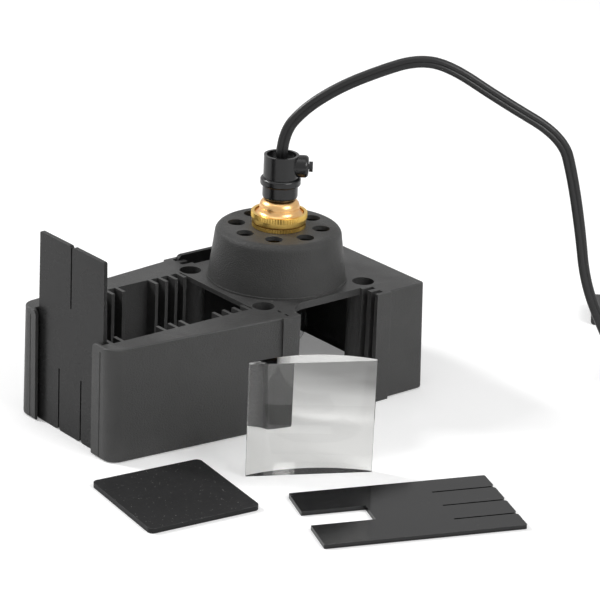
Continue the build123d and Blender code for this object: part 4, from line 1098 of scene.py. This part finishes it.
    def twists(self, line: list[Vector]) -> list[tuple[Vector, Vector]]:
        """Broad and thin directions of the cord at each point of its line.

        Args:
            line: The centreline.

        Returns:
            A pair of unit directions for each point.
        """
        broad = Vector((math.cos(self.first_broad), math.sin(self.first_broad), 0.0))
        run = [0.0]
        tangents = []
        for i, point in enumerate(line):
            ahead = line[min(i + 1, len(line) - 1)]
            behind = line[max(i - 1, 0)]
            tangents.append((ahead - behind).normalized())
            if i:
                run.append(run[-1] + (point - line[i - 1]).length)
        carried = []
        for i, tangent in enumerate(tangents):
            if i:
                broad = tangents[i - 1].rotation_difference(tangent) @ broad
            broad = (broad - tangent * broad.dot(tangent)).normalized()
            carried.append(broad.copy())
        free = sum((Vector(b) - Vector(a)).length for a, b in zip(self.route, self.route[1:]))
        free *= self.spline_share
        mark = min(range(len(run)), key=lambda i: abs(run[i] - free))
        upright = Vector((0.0, 0.0, 1.0))
        thin = tangents[mark].cross(carried[mark])
        needed = math.atan2(upright.dot(thin), upright.dot(carried[mark]))
        needed -= math.pi * round(needed / math.pi)
        frames = []
        for i, tangent in enumerate(tangents):
            share = (run[i] - self.twist_start * free) / (self.twist_run * free)
            share = min(max(share, 0.0), 1.0)
            turn = needed * share * share * (3 - 2 * share)
            across = Quaternion(tangent, turn) @ carried[i]
            frames.append((across, tangent.cross(across)))
        return frames

    def build(self, effects: Effects) -> bpy.types.Object:
        """Builds the grooved cord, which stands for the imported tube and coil.

        Args:
            effects: The shared shader groups.

        Returns:
            The cord's object.
        """
        line = self.spline_line()
        frames = self.twists(line)
        outline = self.section()
        form = bmesh.new()
        across, thin = frames[0]
        ring = [form.verts.new(line[0] + across * x + thin * y) for x, y in outline]
        edges = [form.edges.new((a, b)) for a, b in zip(ring, ring[1:] + ring[:1])]
        loops = [ring]
        for point, (across, thin) in zip(line[1:], frames[1:]):
            grown = bmesh.ops.extrude_edge_only(form, edges=edges)["geom"]
            edges = [g for g in grown if isinstance(g, bmesh.types.BMEdge) and len(g.link_faces) == 1]
            fresh = {v for e in edges for v in e.verts}
            ahead = []
            for v in loops[-1]:
                ahead.append(next(e.other_vert(v) for e in v.link_edges if e.other_vert(v) in fresh))
            for vertex, (x, y) in zip(ahead, outline):
                vertex.co = point + across * x + thin * y
            loops.append(ahead)
        bmesh.ops.holes_fill(form, edges=[e for e in form.edges if e.is_boundary], sides=0)
        bmesh.ops.recalc_face_normals(form, faces=form.faces)
        self._unwrap(form, loops, line)
        mesh = bpy.data.meshes.new("lead_cord")
        form.to_mesh(mesh)
        form.free()
        mesh.shade_smooth()
        cord = bpy.data.objects.new("lead_cord", mesh)
        bpy.context.scene.collection.objects.link(cord)
        mesh.materials.append(LEAD_SHEATH.material(effects))
        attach(cord, "box")
        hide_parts("lead", "lead_coil")
        log.info("lead_cord: %d points along it", len(line))
        return cord

    def _unwrap(
        self, form: bmesh.types.BMesh, loops: list[list[bmesh.types.BMVert]], line: list[Vector]
    ) -> None:
        """Lays the surface out: along the cord in centimetres, and once round it.

        Args:
            form: The cord's mesh.
            loops: Its vertices, ring by ring.
            line: The centreline.
        """
        layer = form.loops.layers.uv.new("along")
        run = 0.0
        spot = {}
        for i, ring in enumerate(loops):
            run += (line[i] - line[i - 1]).length if i else 0.0
            for j, vertex in enumerate(ring):
                spot[vertex] = (100.0 * run, j / len(ring))
        for face in form.faces:
            for corner in face.loops:
                corner[layer].uv = spot[corner.vert]


# ------------------------------------------------------------------ studio
@dataclass
class Softbox:
    """A square light with soft edges.

    Attributes:
        name: Name of the light.
        place: Where it hangs.
        size: Length of its side.
        power: Power in watts.
        target: What it points at.
    """

    name: str
    place: tuple[float, float, float]
    size: float
    power: float
    target: tuple[float, float, float] = (0.0, 0.0, 0.05)

    def hang(self) -> None:
        """Puts the light in the scene."""
        lamp = bpy.data.lights.new(self.name, "AREA")
        lamp.shape = "SQUARE"
        lamp.size = self.size
        lamp.energy = self.power
        thing = bpy.data.objects.new(self.name, lamp)
        thing.location = self.place
        aim = Vector(self.target) - Vector(self.place)
        thing.rotation_euler = aim.to_track_quat("-Z", "Y").to_euler()
        bpy.context.scene.collection.objects.link(thing)


@dataclass
class Studio:
    """Pale floor, white surroundings, soft lights and the camera.

    Attributes:
        floor_size: Length of the floor's side.
        floor_drop: How far the floor lies under the table's level, so that nothing lies in its plane.
        floor_tone: Grey of the floor.
        floor_glow: Glow of the floor to the camera and through clear pieces.
        daylight: Strength of the surroundings on matt faces.
        gloss_share: How much more of the surroundings glossy faces see.
        azimuth: Camera's turn about the object, in radians.
        elevation: Camera's height angle, in radians.
        roll: Camera's roll, in radians.
        place: Where the camera stands.
        lens: Focal length in millimetres.
        sensor: Width of the camera's sensor in millimetres.
        lights: The lights.
    """

    floor_size: float = 8.0
    floor_drop: float = 0.0002
    floor_tone: float = 0.9
    floor_glow: float = 0.2
    daylight: float = 0.38
    gloss_share: float = 0.3
    azimuth: float = -0.6974
    elevation: float = 0.3662
    roll: float = 0.0457
    place: tuple[float, float, float] = (-0.8463, -1.0302, 0.5581)
    lens: float = 162.3
    sensor: float = 36.0
    lights: tuple[Softbox, ...] = (
        Softbox("key_light", (-0.98, 1.4, 1.4), size=0.4, power=28.0),
        Softbox("fill_light", (0.35, -1.8, 1.35), size=1.1, power=24.0),
        Softbox("top_light", (-0.3, -0.1, 2.2), size=1.4, power=7.0),
    )

    def set_up(self) -> None:
        """Builds the whole studio."""
        self._floor()
        self._surroundings()
        for light in self.lights:
            light.hang()
        self._camera()
        bpy.context.scene.view_settings.view_transform = "Standard"
        log.info("studio: %d lights", len(self.lights))

    def _floor(self) -> None:
        """Lays a pale floor just under the table's level, white to the camera."""
        form = bmesh.new()
        bmesh.ops.create_grid(form, x_segments=2, y_segments=2, size=self.floor_size / 2)
        bmesh.ops.translate(form, verts=form.verts, vec=(0.0, 0.0, -self.floor_drop))
        mesh = bpy.data.meshes.new("studio_floor")
        form.to_mesh(mesh)
        form.free()
        floor = bpy.data.objects.new("studio_floor", mesh)
        bpy.context.scene.collection.objects.link(floor)
        made = bpy.data.materials.new("studio_floor")
        made.use_nodes = True
        wire = Wiring(made.node_tree)
        tone = (self.floor_tone, self.floor_tone, self.floor_tone, 1.0)
        matt = wire.add("BsdfDiffuse", {"Color": tone})
        path = wire.add("LightPath")
        seen = wire.math("MAXIMUM", path.outputs["Is Camera Ray"], path.outputs["Is Transmission Ray"])
        glow = wire.math("MULTIPLY", seen, self.floor_glow)
        lift = wire.add("Emission", {"Color": WHITE, "Strength": glow})
        both = wire.add("AddShader", {0: matt.outputs[0], 1: lift.outputs[0]})
        wire.add("OutputMaterial", {"Surface": both.outputs[0]})
        mesh.materials.append(made)

    def _surroundings(self) -> None:
        """Surrounds the scene with white: in full to the camera and glass, in part to gloss."""
        world = bpy.data.worlds.new("studio")
        world.use_nodes = True
        wire = Wiring(world.node_tree)
        path = wire.add("LightPath")
        seen = wire.math("MAXIMUM", path.outputs["Is Camera Ray"], path.outputs["Is Transmission Ray"])
        gloss = wire.math("MULTIPLY", path.outputs["Is Glossy Ray"], self.gloss_share)
        light = wire.math("ADD", wire.math("ADD", seen, gloss), self.daylight)
        strength = wire.math("MINIMUM", light, 1.0)
        back = wire.add("Background", {"Color": WHITE, "Strength": strength})
        wire.add("OutputWorld", {"Surface": back.outputs[0]})
        bpy.context.scene.world = world

    def _camera(self) -> None:
        """Puts the camera at the photograph's viewing angle."""
        sa, ca = math.sin(self.azimuth), math.cos(self.azimuth)
        se, ce = math.sin(self.elevation), math.cos(self.elevation)
        back = Vector((sa * ce, -ca * ce, se))
        level = Vector((ca, sa, 0.0))
        upward_dust_and_light = back.cross(level)
        right = level * math.cos(self.roll) + upward_dust_and_light * math.sin(self.roll)
        top = upward_dust_and_light * math.cos(self.roll) - level * math.sin(self.roll)
        camera = bpy.data.cameras.new("camera")
        camera.lens = self.lens
        camera.sensor_width = self.sensor
        camera.clip_start = 0.01
        camera.clip_end = 50.0
        thing = bpy.data.objects.new("camera", camera)
        turn = Matrix((right, top, back)).transposed().to_4x4()
        thing.matrix_world = Matrix.Translation(self.place) @ turn
        bpy.context.scene.collection.objects.link(thing)
        bpy.context.scene.camera = thing


def main() -> None:
    """Builds the classes in order."""
    logging.basicConfig(level=logging.INFO, format="%(name)s: %(message)s")
    effects = Effects()
    Studio().set_up()
    for group in (LightBox(), Lampholder(), CordGrip(), Lamp(), PlatesAndLens()):
        group.finish(effects)
    ContactSpring("plunger_spring_left", "left_plunger_push").build(effects)
    ContactSpring("plunger_spring_right", "right_plunger_push").build(effects)
    lead = Lead()
    lead.finish(effects)
    lead.build(effects)


if __name__ == "__main__":
    main()
